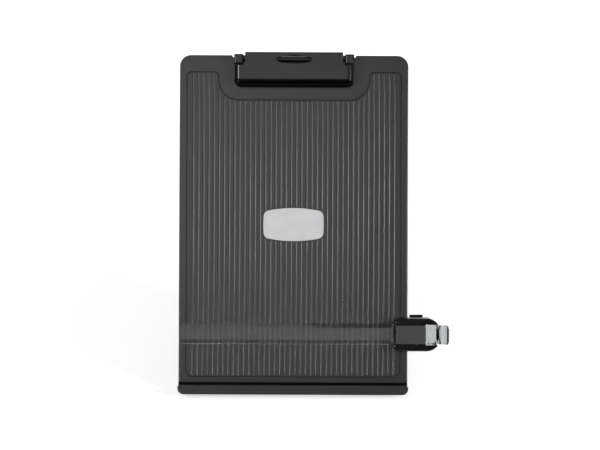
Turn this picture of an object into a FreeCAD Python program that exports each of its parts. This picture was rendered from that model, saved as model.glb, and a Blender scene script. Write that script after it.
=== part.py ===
import FreeCAD, Part
import math
import os
from types import SimpleNamespace

import Sketcher

# Copy holder with a sliding line guide, standing on its easel leg.
# Every piece is drawn in the board's own frame: X to the right, Y up the board,
# Z out of its face, with Z = 0 at the back of the rim. One placement then leans
# them all back, so that the rubber strip under the bottom edge lies on Z = 0.

SIZES = [
    # Board
    ("board_width", 222.0, "width of the board"),
    ("board_top", 328.0, "height of the board's top edge"),
    ("board_low", 4.0, "height of the board's bottom edge"),
    ("board_depth", 10.0, "depth of the board's rim"),
    ("face_wall", 2.4, "wall behind the writing face"),
    ("rim_wall", 2.4, "wall of the rim"),
    ("top_corner", 11.0, "radius of the top corners"),
    ("low_corner", 4.0, "radius of the bottom corners"),
    ("edge_round", 1.2, "rounding of the face's edge"),
    ("notch_margin", 2.0, "notch's end past the clip's side"),
    ("notch_half", "=clip_half + notch_margin", "half width of the notch behind the clip"),
    ("notch_drop", 2.0, "depth of that notch"),
    ("joint_overlap", 0.5, "how far a joined form reaches into its neighbour"),
    ("touch_gap", 0.02, "gap that keeps fitted pieces from overlapping"),
    # Outline groove and ribbed field
    ("groove_inset", 6.7, "groove's distance from the side edges"),
    ("groove_drop", 16.0, "groove's top run below the board's top edge"),
    ("groove_top", "=board_top - groove_drop", "height of the groove's top run"),
    ("groove_gap", 5.0, "groove's bottom run above the ledge's flange"),
    ("groove_low", "=ledge_flange + groove_gap", "height of the groove's bottom run"),
    ("groove_width", 1.0, "width of the groove"),
    ("groove_depth", 1.0, "depth of the groove"),
    ("groove_round", 0.45, "radius of the groove's bottom edges"),
    ("groove_corner", 5.2, "radius of the groove's top corners"),
    ("groove_low_corner", 7.0, "radius of the groove's bottom corners"),
    ("bay_margin", 14.5, "bay's side past the clip's side"),
    ("bay_half", "=clip_half + bay_margin", "half width of the plain bay under the clip"),
    ("bay_drop", 43.0, "bay's bottom run below the board's top edge"),
    ("bay_low", "=board_top - bay_drop", "height of the bay's bottom run"),
    ("bay_sweep", 18.5, "radius of the bay's bottom corners"),
    ("bead_pitch", 5.0, "spacing of the beads"),
    ("bead_side", 4.2, "first bead's pitch line from the groove"),
    ("bead_count", "=floor((board_width - 2 * groove_inset - 2 * bead_side) / bead_pitch)",
     "number of beads"),
    ("bead_width", 2.0, "width of a bead"),
    ("bead_height", 0.6, "height of a bead"),
    ("bead_margin", 2.0, "plain margin between the groove and the beads"),
    # Ribs behind the face
    ("rail_inset", 11.7, "outer face of the rail wall, in from the board's edge"),
    ("rib_wall", 1.6, "thickness of the rail walls and cross ribs"),
    ("rib_setback", 0.8, "how far the ribs stay in front of the rim's back"),
    ("rib_first", 42.0, "height of the lowest cross rib"),
    ("rib_step", 46.0, "spacing of the cross ribs"),
    ("crown_drop", 35.0, "lower full-width rib below the clip's screws"),
    ("crown_rib", "=clip_screw_y - crown_drop", "height of the full-width rib above the leg"),
    ("crown_step", 24.0, "spacing of the full-width ribs"),
    # Badge
    ("badge_half_width", 29.2, "half width of the badge"),
    ("badge_half_height", 16.0, "half height of the badge"),
    ("badge_bow", 3.5, "bow of its long edges"),
    ("badge_side_bow", 0.9, "bow of its short edges"),
    ("badge_corner", 6.0, "radius of its corners"),
    ("badge_drop", 2.3, "badge's middle below the board's"),
    ("badge_height", "=(board_low + board_top) / 2 - badge_drop",
     "height of the badge's middle on the board"),
    ("badge_recess", 0.8, "depth of its recess"),
    ("badge_gap", 0.5, "gap around the badge in its recess"),
    ("badge_thick", 1.0, "thickness of the badge"),
    ("badge_rim", 1.0, "width of its raised rim"),
    ("badge_rim_rise", 0.25, "rise of that rim"),
    ("tape_thick", 0.2, "thickness of the adhesive pad"),
    ("tape_inset", 3.0, "adhesive pad's distance from the badge's edge"),
    # Paper ledge
    ("ledge_inset", 0.2, "ledge's end in from the board's side"),
    ("ledge_half", "=board_width / 2 - ledge_inset", "half length of the ledge"),
    ("ledge_low", 0.3, "height of the ledge's underside"),
    ("ledge_lip", 9.4, "height of the lip's top"),
    ("ledge_floor", 6.5, "height of the trough's floor"),
    ("ledge_deck", 2.2, "thickness of the trough's floor"),
    ("ledge_reach", 12.5, "how far the ledge stands out of the face"),
    ("ledge_wall", 2.2, "thickness of the lip and of the back flange"),
    ("flange_margin", 0.5, "back flange above the heat stakes"),
    ("flange_edge", 0.3, "thickness of the back flange's tapered top"),
    ("ledge_flange", "=stake_height + stake_radius + flange_margin",
     "height of the back flange's top"),
    ("ledge_corner", 6.0, "radius of the ledge's lower corners"),
    ("ledge_top_corner", 2.4, "radius of the lip's upper corners"),
    ("ledge_round", 0.8, "rounding of the ledge's front edges"),
    ("ledge_cells", 6.0, "number of hollow cells under the floor"),
    ("stake_room", 0.1, "stake head's clearance from the rim's wall"),
    ("stake_height", "=board_low + rim_wall + stake_head + stake_room",
     "height of the heat stakes on the flange"),
    ("stake_radius", 1.4, "radius of a heat stake"),
    ("stake_head", 2.4, "radius of its melted head"),
    ("stake_head_thick", 1.4, "thickness of its head"),
    ("stake_count", 5.0, "number of heat stakes"),
    ("stake_side", 3.3, "last stake head's distance from the rail wall"),
    ("stake_step", "=(board_width / 2 - rail_inset - rib_wall - stake_head - stake_side) / 2",
     "spacing of the heat stakes"),
    ("stake_gap", 0.1, "clearance of a stake in its hole"),
    # Clip
    ("clip_drop", 4.8, "clip's hinge axis below the board's top edge"),
    ("clip_axis", "=board_top - clip_drop", "height of the clip's hinge axis"),
    ("clip_axis_rise", 6.0, "hinge axis above the face"),
    ("clip_pin_radius", 1.5, "radius of the clip's pin"),
    ("clip_half", 58.0, "half width of the clip"),
    ("ear_gap", 2.1, "clip's neck from its ears"),
    ("clip_neck_half", "=ear_inner - ear_gap", "half width of the clip between its ears"),
    ("shoulder_drop", 6.4, "clip's shoulders below its hinge axis"),
    ("clip_shoulder", "=clip_axis - shoulder_drop", "height of the clip's shoulders"),
    ("crest_rise", 6.5, "clip's top edge above its hinge axis"),
    ("clip_crest", "=clip_axis + crest_rise", "height of the clip's top edge"),
    ("jaw_length", 26.6, "clip's lip below its hinge axis"),
    ("clip_low", "=clip_axis - jaw_length", "height of the clip's lip"),
    ("knuckle_gap", 0.2, "clip's underside above the middle knuckle"),
    ("clip_rise", "=clip_axis_rise + knuckle_radius + knuckle_gap + clip_wall",
     "clip's face above the board's face"),
    ("clip_wall", 2.0, "wall of the clip"),
    ("clip_nose", 7.0, "radius of the rolled lip"),
    ("clip_corner", 7.0, "radius of the lip's corners seen from the front"),
    ("crest_round", 1.2, "rounding of the clip's top edge"),
    ("hollow_corner", 1.0, "radius of the corners of the clip's hollow"),
    ("clip_side_round", 6.5, "rounding of the clip's side edges"),
    ("clip_hem", 2.2, "clip's side walls above the board's face"),
    ("clip_lip_thick", 4.4, "thickness of the lip"),
    ("clip_lip_gap", 0.8, "lip above the board's face"),
    ("flap_gap", 0.5, "thumb flap above the clip's pin"),
    ("clip_flap_hem", "=clip_axis_rise + clip_pin_radius + flap_gap",
     "underside of the thumb flap above the face"),
    ("hole_half", 17.5, "half length of the oval hole"),
    ("hole_half_height", 4.1, "half height of the oval hole"),
    ("hole_drop", 0.7, "oval hole's middle below the hinge axis"),
    ("hole_height", "=clip_axis - hole_drop", "height of the oval hole's middle"),
    ("lug_inset", 13.1, "hinge lugs in from the clip's neck"),
    ("lug_inner", "=clip_neck_half - lug_inset", "inner face of the clip's hinge lugs"),
    ("lug_thick", 4.0, "thickness of a hinge lug"),
    ("lug_gap", 1.0, "hinge lugs above the base plate"),
    ("lug_radius", "=clip_axis_rise - base_thick - lug_gap", "radius of a hinge lug"),
    ("ear_width", 8.6, "width of a hinge ear"),
    ("ear_inner", "=ear_outer - ear_width", "inner face of the hinge ears"),
    ("ear_inset", 0.2, "hinge ears in from the clip's side"),
    ("ear_outer", "=clip_half - ear_inset", "outer face of the hinge ears"),
    ("ear_half_height", 4.7, "half height of an ear"),
    ("ear_drop", 0.5, "top of an ear below the clip's face"),
    ("ear_rise", "=clip_rise - ear_drop", "height of an ear above the face"),
    ("ear_round", 1.6, "rounding of an ear"),
    ("pin_inset", 0.5, "pin's end in from the mouth of its hole"),
    ("base_thick", 1.8, "thickness of the clip's base plate"),
    ("knuckle_taper", 1.0, "knuckle's upper foot in from its round"),
    ("base_inset", 7.4, "base plate's lower edge above the clip's lip"),
    ("base_low", "=clip_low + base_inset", "height of the base plate's lower edge"),
    ("base_reach", 4.5, "base plate's upper edge above the hinge axis"),
    ("base_top", "=clip_axis + base_reach", "height of the base plate's upper edge"),
    ("knuckle_inset", 6.0, "knuckle's end from the middle of a coil"),
    ("knuckle_half", "=clip_coil_x - knuckle_inset", "half length of the middle knuckle"),
    ("knuckle_wall", 1.3, "wall of the middle knuckle"),
    ("knuckle_radius", "=clip_pin_radius + knuckle_wall", "radius of the middle knuckle"),
    ("grip_thick", 1.1, "thickness of the rubber grip pad"),
    ("grip_depth", 3.4, "depth of the rubber grip pad"),
    ("grip_inset", 9.0, "grip pad's end in from the clip's side"),
    ("grip_half", "=clip_half - grip_inset", "half length of the rubber grip pad"),
    ("grip_lift", 0.3, "grip pad above the board's face"),
    ("screw_side", 0.6, "screw seats' distance from the walls of the leg's bay"),
    ("clip_screw_x", "=leg_half_top + leg_side_gap + bay_wall + screw_boss + screw_side",
     "clip screws from the middle"),
    ("screw_rise", 5.0, "clip screws above the base plate's lower edge"),
    ("clip_screw_y", "=base_low + screw_rise", "height of the clip screws"),
    ("screw_radius", 1.25, "radius of the clip screws' thread"),
    ("screw_head", 2.6, "radius of their heads"),
    ("screw_head_thick", 1.8, "thickness of their heads"),
    ("screw_boss", 3.4, "radius of a screw boss"),
    ("screw_seat", 2.0, "depth of the clip screws' seats behind the face's wall"),
    ("screw_play", 0.15, "clearance of a screw in its hole"),
    ("screw_room", 0.5, "depth of a screw's hole past its tip"),
    ("screw_boss_rise", 6.0, "height of a screw boss above the face"),
    ("boss_roof", 1.4, "top of a screw boss above its screw's tip"),
    ("screw_bite", "=screw_boss_rise - boss_roof", "depth of a clip screw above the face"),
    ("coil_inset", 8.0, "middle of a coil in from its hinge lug"),
    ("clip_coil_x", "=lug_inner - coil_inset", "middle of a clip spring's coil"),
    ("clip_coil_radius", 2.2, "mean radius of that coil"),
    ("clip_wire", 0.8, "wire of the clip springs"),
    ("clip_coil_pitch", 1.15, "pitch of that coil"),
    ("clip_coil_turns", 5.0, "turns of that coil"),
    ("clip_spring_arm", 13.0, "arm of a clip spring"),
    ("seat_margin", 1.2, "spring seat's side past the coil"),
    ("seat_length", 4.0, "length of a spring seat"),
    # Line guide's carriage
    ("guide_height", 58.2, "height of the line guide's middle"),
    ("carriage_cheek", 6.0, "wall beside the carriage's channel"),
    ("carriage_half", "=channel_half + carriage_cheek", "half height of the carriage"),
    ("carriage_lap", 15.0, "carriage's reach over the board"),
    ("carriage_left", "=board_width / 2 - carriage_lap", "left end of the carriage"),
    ("carriage_reach", 31.2, "carriage's reach past the board's edge"),
    ("carriage_right", "=board_width / 2 + carriage_reach", "right end of the carriage"),
    ("cap_drop", 0.6, "rocker cap's top below the carriage's front"),
    ("carriage_rise", "=neck_rise + guide_thick + cap_top + cap_drop",
     "carriage's front above the board's face"),
    ("nose_flat", 1.9, "half length of the straight part of the nose"),
    ("carriage_nose", "=carriage_half - nose_flat", "radius of the carriage's nose"),
    ("carriage_heel", 6.5, "radius of the carriage's inner corners"),
    ("carriage_round", 2.6, "rounding of the carriage's front edges"),
    ("arm_lift", 0.8, "carriage's arms above the board's face"),
    ("edge_gap", 0.5, "carriage's web from the board's edge"),
    ("back_gap", 0.4, "carriage's back cover behind the board"),
    ("back_thick", 2.7, "thickness of the carriage's back cover"),
    ("back_corner", 2.0, "radius of the back cover's inner corners"),
    ("back_lap", 11.2, "back cover's reach behind the board"),
    ("back_left", "=board_width / 2 - back_lap", "left end of the back cover"),
    ("back_inset", 0.6, "back cover's edge inside the housing's"),
    ("cap_play", 0.65, "play between the rocker cap and the channel"),
    ("channel_half", "=cap_half + cap_play", "half width of the channel through the carriage"),
    ("channel_floor", 0.3, "channel's floor above the board's face"),
    ("mouth_offset", 10.6, "flare of the open slot past the finger tab's start"),
    ("slot_mouth", "=tab_start + mouth_offset", "where the slot under the finger tab flares"),
    ("mouth_round", 6.0, "radius of the slot's flare"),
    ("hook_thick", 2.6, "thickness of the hook behind the rim"),
    ("hook_gap", 0.4, "hook's distance from the rim"),
    ("hook_rise", 5.0, "height of the hook"),
    ("hook_margin", 1.5, "hook's end in from the carriage's"),
    ("rib_rise", 2.0, "thumb rib above the carriage's back cover"),
    ("rib_half", 6.4, "half length of that thumb rib"),
    ("rib_offset", 2.2, "thumb rib's start past the board's edge"),
    ("rib_root", 2.0, "thumb rib's root inside the back cover"),
    ("hollow_inset", 1.9, "hollow's end in from the channel's side"),
    ("hollow_half", "=channel_half - hollow_inset", "half height of the hollow in the housing"),
    ("hollow_width", 6.6, "width of the hollow in the housing"),
    ("web_wall", 2.6, "wall between the hollow and the board"),
    ("carriage_screw_out", 6.0, "carriage screws past the board's edge"),
    ("carriage_screw_x", "=board_width / 2 + carriage_screw_out",
     "carriage screws from the middle"),
    ("carriage_screw_side", 2.3, "carriage screws from the channel's side"),
    ("carriage_screw_half", "=channel_half + carriage_screw_side",
     "carriage screws from the guide's middle"),
    ("carriage_screw_radius", 1.1, "radius of the carriage screws"),
    ("carriage_screw_head", 2.1, "radius of their heads"),
    ("head_sink", 0.1, "carriage screws' heads below the cover's back"),
    ("carriage_screw_length", 9.0, "length of the carriage screws"),
    ("leaf_thick", 0.4, "thickness of the friction leaf"),
    ("leaf_half", 7.5, "half length of the friction leaf"),
    ("leaf_width", 5.0, "width of the friction leaf"),
    ("leaf_bow", 1.1, "bow of the friction leaf"),
    ("leaf_gap", 0.3, "friction leaf's distance from the board's edge"),
    ("leaf_play", 0.3, "play around the friction leaf in its pocket"),
    # Line guide
    ("pivot_out", 8.4, "line guide's pivot past the board's edge"),
    ("pivot_x", "=board_width / 2 + pivot_out", "line guide's pivot"),
    ("pivot_rise", 5.5, "pivot above the board's face"),
    ("pivot_radius", 1.2, "radius of the pivot pin"),
    ("pivot_fit", 0.03, "running clearance of both hinge pins"),
    ("pin_wall", 1.0, "wall beyond the pivot pin's hole"),
    ("guide_margin", 2.3, "ruler's end in from the board's far edge"),
    ("guide_left", "=guide_margin - board_width / 2", "left end of the ruler"),
    ("guide_half", 10.0, "half width of the ruler"),
    ("guide_thick", 2.2, "thickness of the ruler"),
    ("guide_lift", 0.8, "ruler above the board's face"),
    ("guide_bevel", 4.2, "width of the ruler's bevels"),
    ("guide_bevel_drop", 0.9, "depth of the ruler's bevels"),
    ("bend_offset", 1.2, "ruler's step up past the carriage's end"),
    ("guide_bend", "=carriage_left + bend_offset", "start of the ruler's step up"),
    ("waist_gap", 0.8, "ruler's waist ahead of the carriage's end"),
    ("step_round", 4.0, "radius of the ruler's step up"),
    ("neck_half", 7.0, "half width of the ruler's neck"),
    ("neck_gap", 0.3, "neck above the return spring's coil"),
    ("neck_rise", "=pivot_rise + return_coil + return_wire / 2 + neck_gap",
     "neck's underside above the face"),
    ("step_length", 7.2, "length of the ruler's step up"),
    ("neck_start", "=guide_bend + step_length", "where the neck becomes level"),
    ("tab_play", 0.7, "play beside the finger tab"),
    ("tab_half", "=channel_half - tab_play", "half width of the finger tab"),
    ("tab_gap", 1.0, "finger tab's start past the rocker cap"),
    ("tab_start", "=cap_right + tab_gap", "where the finger tab begins"),
    ("dip_offset", 7.9, "tab's lowest place past its start"),
    ("tab_dip", "=tab_start + dip_offset", "lowest place of the finger tab"),
    ("tab_dip_drop", 1.8, "how far the tab dips there"),
    ("tab_sweep", 12.0, "radius of the tab's first bend"),
    ("tab_curl", 5.0, "radius of the tab's second bend"),
    ("lip_curl", 4.0, "radius of the lip's bend"),
    ("tab_lip_rise", 0.6, "tab above the neck's level at its lip"),
    ("lip_offset", 8.7, "upturned lip past the tab's lowest place"),
    ("tab_lip", "=tab_dip + lip_offset", "start of the upturned lip"),
    ("lip_length", 3.0, "length of the upturned lip"),
    ("tab_end", "=tab_lip + lip_length", "end of the finger tab"),
    ("tab_end_rise", 7.5, "rise of the upturned lip"),
    ("cap_inset", 2.9, "rocker cap's end in from the carriage's"),
    ("cap_left", "=carriage_left + cap_inset", "left end of the rocker cap"),
    ("cap_reach", 8.2, "rocker cap's reach past the pivot"),
    ("cap_right", "=pivot_x + cap_reach", "right end of the rocker cap"),
    ("cap_fit", 0.25, "play between the neck and the cap's cheeks"),
    ("cap_half", "=neck_half + cap_fit + cap_wall", "half width of the rocker cap"),
    ("cap_wall", 2.0, "cheeks of the rocker cap"),
    ("cap_top", 2.6, "thickness of the rocker cap's top"),
    ("cheek_drop", 2.7, "cheeks' underside below the pivot"),
    ("cap_hem", "=pivot_rise - cheek_drop", "cheeks' underside above the face"),
    ("cap_round", 0.9, "rounding of the rocker cap"),
    ("return_wire", 0.5, "wire of the return spring"),
    ("return_coil", 1.75, "mean radius of the return spring"),
    ("return_pitch", 0.75, "pitch of the return spring"),
    ("return_turns", 6.0, "turns of the return spring"),
    ("return_arm", 5.0, "arm of the return spring on its seat"),
    ("return_finger", 1.4, "arm of the return spring under the neck"),
    ("return_seat", 4.0, "half width of the return spring's seat"),
    # Easel leg
    ("lean_angle", 20.0, "board's lean from upright"),
    ("leg_angle", 30.0, "leg's angle to the board when open"),
    ("leg_drop", 98.0, "leg's pivot below the board's top edge"),
    ("leg_pivot", "=board_top - leg_drop", "height of the leg's pivot on the board"),
    ("leg_sink", 0.6, "folded leg in front of the rim's back"),
    ("leg_pivot_in", "=leg_thick / 2 + leg_sink", "leg's pivot in front of the rim's back"),
    ("leg_half_top", 36.0, "half width of the leg at its top"),
    ("leg_half_low", 30.0, "half width of the leg at its foot"),
    ("leg_thick", 6.0, "thickness of the leg"),
    ("leg_web", 2.0, "thickness of the leg's web"),
    ("leg_wall", 2.4, "walls and ribs of the leg"),
    ("leg_head", 9.0, "solid band at the leg's top"),
    ("leg_cells", 4.0, "number of cells in the leg"),
    ("leg_cell_corner", 2.0, "radius of the corners of the leg's cells"),
    ("tongue_margin", 1.0, "leg's solid end past the foot's tongue"),
    ("leg_side_gap", 0.6, "clearance between the leg and its bay"),
    ("leg_pin_radius", 1.5, "radius of the leg's pin"),
    ("stop_gap", 0.15, "gap left at the leg's stop"),
    ("bay_wall", 2.4, "walls of the leg's bay"),
    ("bay_above", 9.0, "bay's top wall above the pivot"),
    ("pin_boss", 6.0, "depth of a boss for the leg's pin"),
    ("pin_boss_half", 4.5, "half height of that boss"),
    ("foot_length", 9.0, "length of the leg's rubber foot"),
    ("foot_tongue", 6.0, "length of the foot's tongue in the leg"),
    ("foot_tongue_thick", 2.4, "thickness of that tongue"),
    ("foot_tongue_half", 24.0, "half width of that tongue"),
    ("tongue_play", 0.1, "play at the tongue's ends"),
    # Rubber strip under the bottom edge
    ("strip_inset", 25.0, "strip's end in from the board's side"),
    ("strip_half", "=board_width / 2 - strip_inset", "half length of the rubber strip"),
    ("strip_back", 0.5, "strip's back edge in front of the rim's back"),
    ("strip_front", 6.8, "strip's front edge"),
]

doc = FreeCAD.newDocument("CopyHolder")
sheet = doc.addObject("Spreadsheet::Sheet", "Sizes")
for row, (alias, _, note) in enumerate(SIZES, start=1):
    sheet.set(f"A{row}", note)
    sheet.setAlias(f"B{row}", alias)
for row, (_, value, _) in enumerate(SIZES, start=1):
    sheet.set(f"B{row}", str(value))
doc.recompute()
s = SimpleNamespace(**{alias: float(sheet.get(alias)) for alias, _, _ in SIZES})


def vec(x, y, z=0.0):
    return FreeCAD.Vector(x, y, z)


X_AXIS = vec(1, 0)
pieces = {}


# Placement of the whole holder

tilt = FreeCAD.Rotation(X_AXIS, 90.0 - s.lean_angle)
desk_slope = math.tan(math.radians(s.lean_angle))
strip_middle = vec(0, desk_slope * (s.strip_front - s.strip_back) / 2,
                   (s.strip_back + s.strip_front) / 2)
stand = FreeCAD.Placement(tilt.multVec(strip_middle) * -1, tilt)


# Drawing helpers

def new_body(label):
    body = doc.addObject("PartDesign::Body", label)
    body.Label = label
    pieces[label] = body
    return body


def sketch_on(body, name, role, offset=None):
    """A sketch on one of the body's origin planes, set off along its normal."""
    sketch = body.newObject("Sketcher::SketchObject", f"{body.Label}_{name}")
    plane = [item for item in body.Origin.OriginFeatures if item.Role == role][0]
    sketch.AttachmentSupport = [(plane, "")]
    sketch.MapMode = "FlatFace"
    if offset:
        sketch.setExpression("AttachmentOffset.Base.z", offset)
    doc.recompute()
    return sketch


def rectangle(sketch, left, right, low, high):
    """A rectangle whose four sides are bound to expressions."""
    first = sketch.GeometryCount
    corners = [vec(0, 0), vec(1, 0), vec(1, 1), vec(0, 1)]
    for start, end in zip(corners, corners[1:] + corners[:1]):
        sketch.addGeometry(Part.LineSegment(start, end), False)
    for side in range(4):
        following = first + (side + 1) % 4
        sketch.addConstraint(Sketcher.Constraint("Coincident", first + side, 2, following, 1))
        direction = "Vertical" if side % 2 else "Horizontal"
        sketch.addConstraint(Sketcher.Constraint(direction, first + side))
    bounds = [("DistanceX", 0, left), ("DistanceY", 0, low),
              ("DistanceX", 2, right), ("DistanceY", 2, high)]
    for kind, corner, expression in bounds:
        index = sketch.addConstraint(Sketcher.Constraint(kind, -1, 1, first + corner, 1, 0.5))
        sketch.setExpression(f"Constraints[{index}]", expression)


def circle(sketch, across, up, radius):
    """A circle whose centre and radius are bound to expressions."""
    index = sketch.addGeometry(Part.Circle(vec(0.5, 0.5), vec(0, 0, 1), 1.0), False)
    for kind, expression in (("DistanceX", across), ("DistanceY", up)):
        constraint = sketch.addConstraint(Sketcher.Constraint(kind, -1, 1, index, 3, 0.5))
        sketch.setExpression(f"Constraints[{constraint}]", expression)
    constraint = sketch.addConstraint(Sketcher.Constraint("Radius", index, 1.0))
    sketch.setExpression(f"Constraints[{constraint}]", radius)


def bend(before, corner, after, radius):
    """The tangent points and the middle of an arc that rounds a corner."""
    one = (before - corner).normalize()
    two = (after - corner).normalize()
    half = one.getAngle(two) / 2
    reach = radius / math.tan(half)
    centre = corner + (one + two).normalize() * (radius / math.sin(half))
    middle = centre + (corner - centre).normalize() * radius
    return corner + one * reach, middle, corner + two * reach, centre


def loop(sketch, points):
    """A closed outline of (x, y, radius) corners, as lines and arcs."""
    corners = [vec(x, y) for x, y, _ in points]
    bends = []
    for index, (_, _, radius) in enumerate(points):
        corner = corners[index]
        before, after = corners[index - 1], corners[(index + 1) % len(corners)]
        bends.append(bend(before, corner, after, radius) if radius else (corner, None, corner, None))
    for index, (_, _, end, _) in enumerate(bends):
        start, middle, finish, _ = bends[(index + 1) % len(bends)]
        if end.distanceToPoint(start) > 1e-6:
            sketch.addGeometry(Part.LineSegment(end, start), False)
        if middle:
            arc = Part.Arc(start, middle, finish)
            sketch.addGeometry(arc, False)


def ribbon(sketch, points, thickness):
    """The closed outline of a bent strip along a line of (x, y, radius) points."""
    line = [vec(x, y) for x, y, _ in points]
    sides = {1: [], -1: []}
    for side, edges in sides.items():
        shift = side * thickness / 2
        place = None
        for index, (_, _, radius) in enumerate(points):
            before, here, after = line[max(index - 1, 0)], line[index], line[min(index + 1, len(line) - 1)]
            if not radius:
                along = (after - before).normalize()
                end = here + vec(-along.y, along.x) * shift
                if place:
                    edges.append(Part.LineSegment(place, end))
                place = end
                continue
            start, middle, finish, centre = bend(before, here, after, radius)
            turn = (here - before).cross(after - here).z
            outer = radius - shift if turn > 0 else radius + shift
            spots = [centre + (spot - centre).normalize() * outer for spot in (start, middle, finish)]
            edges.append(Part.LineSegment(place, spots[0]))
            edges.append(Part.Arc(*spots))
            place = spots[2]
    ends = [(sides[1][0].StartPoint, sides[-1][0].StartPoint),
            (sides[1][-1].EndPoint, sides[-1][-1].EndPoint)]
    for edge in sides[1] + sides[-1]:
        sketch.addGeometry(edge, False)
    for start, end in ends:
        sketch.addGeometry(Part.LineSegment(start, end), False)


def pad(body, sketch, length, reverse=False, both=False):
    base = body.Tip
    feature = body.newObject("PartDesign::Pad", f"{sketch.Name}_pad")
    feature.Profile = sketch
    feature.setExpression("Length", length)
    feature.Reversed = reverse
    if both:
        feature.SideType = "Symmetric"
    return check_change(body, base, feature, True)


def pocket(body, sketch, length=None, reverse=False, both=False):
    base = body.Tip
    feature = body.newObject("PartDesign::Pocket", f"{sketch.Name}_cut")
    feature.Profile = sketch
    if length:
        feature.setExpression("Length", length)
    else:
        feature.Type = "ThroughAll"
    feature.Reversed = reverse
    if both:
        feature.SideType = "Symmetric"
    return check_change(body, base, feature, False)


def check_change(body, base, feature, adds):
    """Recompute, and make sure that the feature added or removed material."""
    doc.recompute()
    before = base.Shape.Volume if base else 0.0
    after = feature.Shape.Volume
    if (after <= before + 1e-6) if adds else (after >= before - 1e-6):
        raise ValueError(f"{feature.Name} changed nothing: {before:.3f} to {after:.3f}")
    body.Tip = feature
    return feature


def edges_where(feature, test):
    """Names of the edges whose every vertex and middle pass a test."""
    names = []
    for index, edge in enumerate(feature.Shape.Edges, start=1):
        middle = edge.valueAt((edge.FirstParameter + edge.LastParameter) / 2)
        spots = [vertex.Point for vertex in edge.Vertexes] + [middle]
        if all(test(spot) for spot in spots):
            names.append(f"Edge{index}")
    return names


def fillet(body, radius, test):
    base = body.Tip
    feature = body.newObject("PartDesign::Fillet", f"{base.Name}_round")
    feature.Base = (base, edges_where(base, test))
    feature.setExpression("Radius", radius)
    doc.recompute()
    if not feature.Shape.isValid():
        raise ValueError(f"{feature.Name} is not valid")
    body.Tip = feature
    return feature


def near(value, target, gap=0.01):
    return abs(value - target) < gap


def coil(label, centre, axis, side, radius, wire, pitch, turns, arms):
    """A torsion spring of half-turn arcs, whose two arms both leave along `side`.

    The first arm leaves the coil's underside, and the second its top.
    """
    count = 2 * int(round(turns)) + 1
    start = centre - axis * (pitch * count / 4)

    def spot(half_turns):
        angle = math.pi * half_turns
        around = vec(0, 0, -math.cos(angle)) - side * math.sin(angle)
        return start + axis * (pitch / 2 * half_turns) + around * radius

    edges = [Part.LineSegment(spot(0) + side * arms[0], spot(0)).toShape()]
    for index in range(count):
        edges.append(Part.Arc(spot(index), spot(index + 0.5), spot(index + 1)).toShape())
    edges.append(Part.LineSegment(spot(count), spot(count) + side * arms[1]).toShape())
    path = Part.Wire(edges)
    profile = Part.Wire([Part.Circle(spot(0) + side * arms[0], side, wire / 2).toShape()])
    shape = path.makePipeShell([profile], True, False)
    expected = math.pi * wire ** 2 / 4 * sum(edge.Length for edge in edges)
    if abs(shape.Volume / expected - 1) > 0.03:
        raise ValueError(f"{label} has volume {shape.Volume:.3f}, not {expected:.3f}")
    return shape


def feature_from(label, shape):
    part = doc.addObject("Part::Feature", label)
    part.Label = label
    part.Shape = shape
    pieces[label] = part
    return part


# Board: one moulding, drawn from the face down to the ribs behind it

half_width = s.board_width / 2
board = new_body("board_shell")

outline = sketch_on(board, "outline", "XY_Plane")
loop(outline, [(-half_width, s.board_low, s.low_corner), (half_width, s.board_low, s.low_corner),
               (half_width, s.board_top, s.top_corner), (-half_width, s.board_top, s.top_corner)])
pad(board, outline, "Sizes.board_depth")
fillet(board, "Sizes.edge_round", lambda spot: near(spot.z, s.board_depth))

notch = sketch_on(board, "notch", "XY_Plane")
rectangle(notch, "-Sizes.notch_half", "Sizes.notch_half",
          "Sizes.board_top - Sizes.notch_drop", "Sizes.board_top + Sizes.top_corner")
pocket(board, notch, "Sizes.board_depth", reverse=True)

cavity = sketch_on(board, "cavity", "XY_Plane")
inner_half = half_width - s.rim_wall
inner_low = s.board_low + s.rim_wall
inner_top = s.board_top - s.notch_drop - s.rim_wall
inner_round = s.top_corner - s.rim_wall
loop(cavity, [(-inner_half, inner_low, s.low_corner - s.rim_wall),
              (inner_half, inner_low, s.low_corner - s.rim_wall),
              (inner_half, inner_top, inner_round), (-inner_half, inner_top, inner_round)])
pocket(board, cavity, "Sizes.board_depth - Sizes.face_wall", reverse=True)

# Ribs: rail walls beside both edges, the leg's bay between two walls, cross ribs
RIB_FLOOR = "Sizes.rib_setback"
RIB_LENGTH = "Sizes.board_depth - Sizes.face_wall - Sizes.rib_setback"
RIM_LOW = "Sizes.board_low + Sizes.rim_wall / 2"
RIM_TOP = "Sizes.board_top - Sizes.notch_drop - Sizes.rim_wall / 2"
RAIL_OUT = "(Sizes.board_width / 2 - Sizes.rail_inset)"
RAIL_IN = "(Sizes.board_width / 2 - Sizes.rail_inset - Sizes.rib_wall)"
BAY_IN = "(Sizes.leg_half_top + Sizes.leg_side_gap)"
BAY_OUT = "(Sizes.leg_half_top + Sizes.leg_side_gap + Sizes.bay_wall)"
BAY_TOP = "(Sizes.leg_pivot + Sizes.bay_above)"

walls = sketch_on(board, "walls", "XY_Plane", RIB_FLOOR)
rectangle(walls, RAIL_IN, RAIL_OUT, RIM_LOW, RIM_TOP)
rectangle(walls, f"-{RAIL_OUT}", f"-{RAIL_IN}", RIM_LOW, RIM_TOP)
rectangle(walls, BAY_IN, BAY_OUT, RIM_LOW, RIM_TOP)
rectangle(walls, f"-{BAY_OUT}", f"-{BAY_IN}", RIM_LOW, RIM_TOP)
pad(board, walls, RIB_LENGTH)

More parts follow.
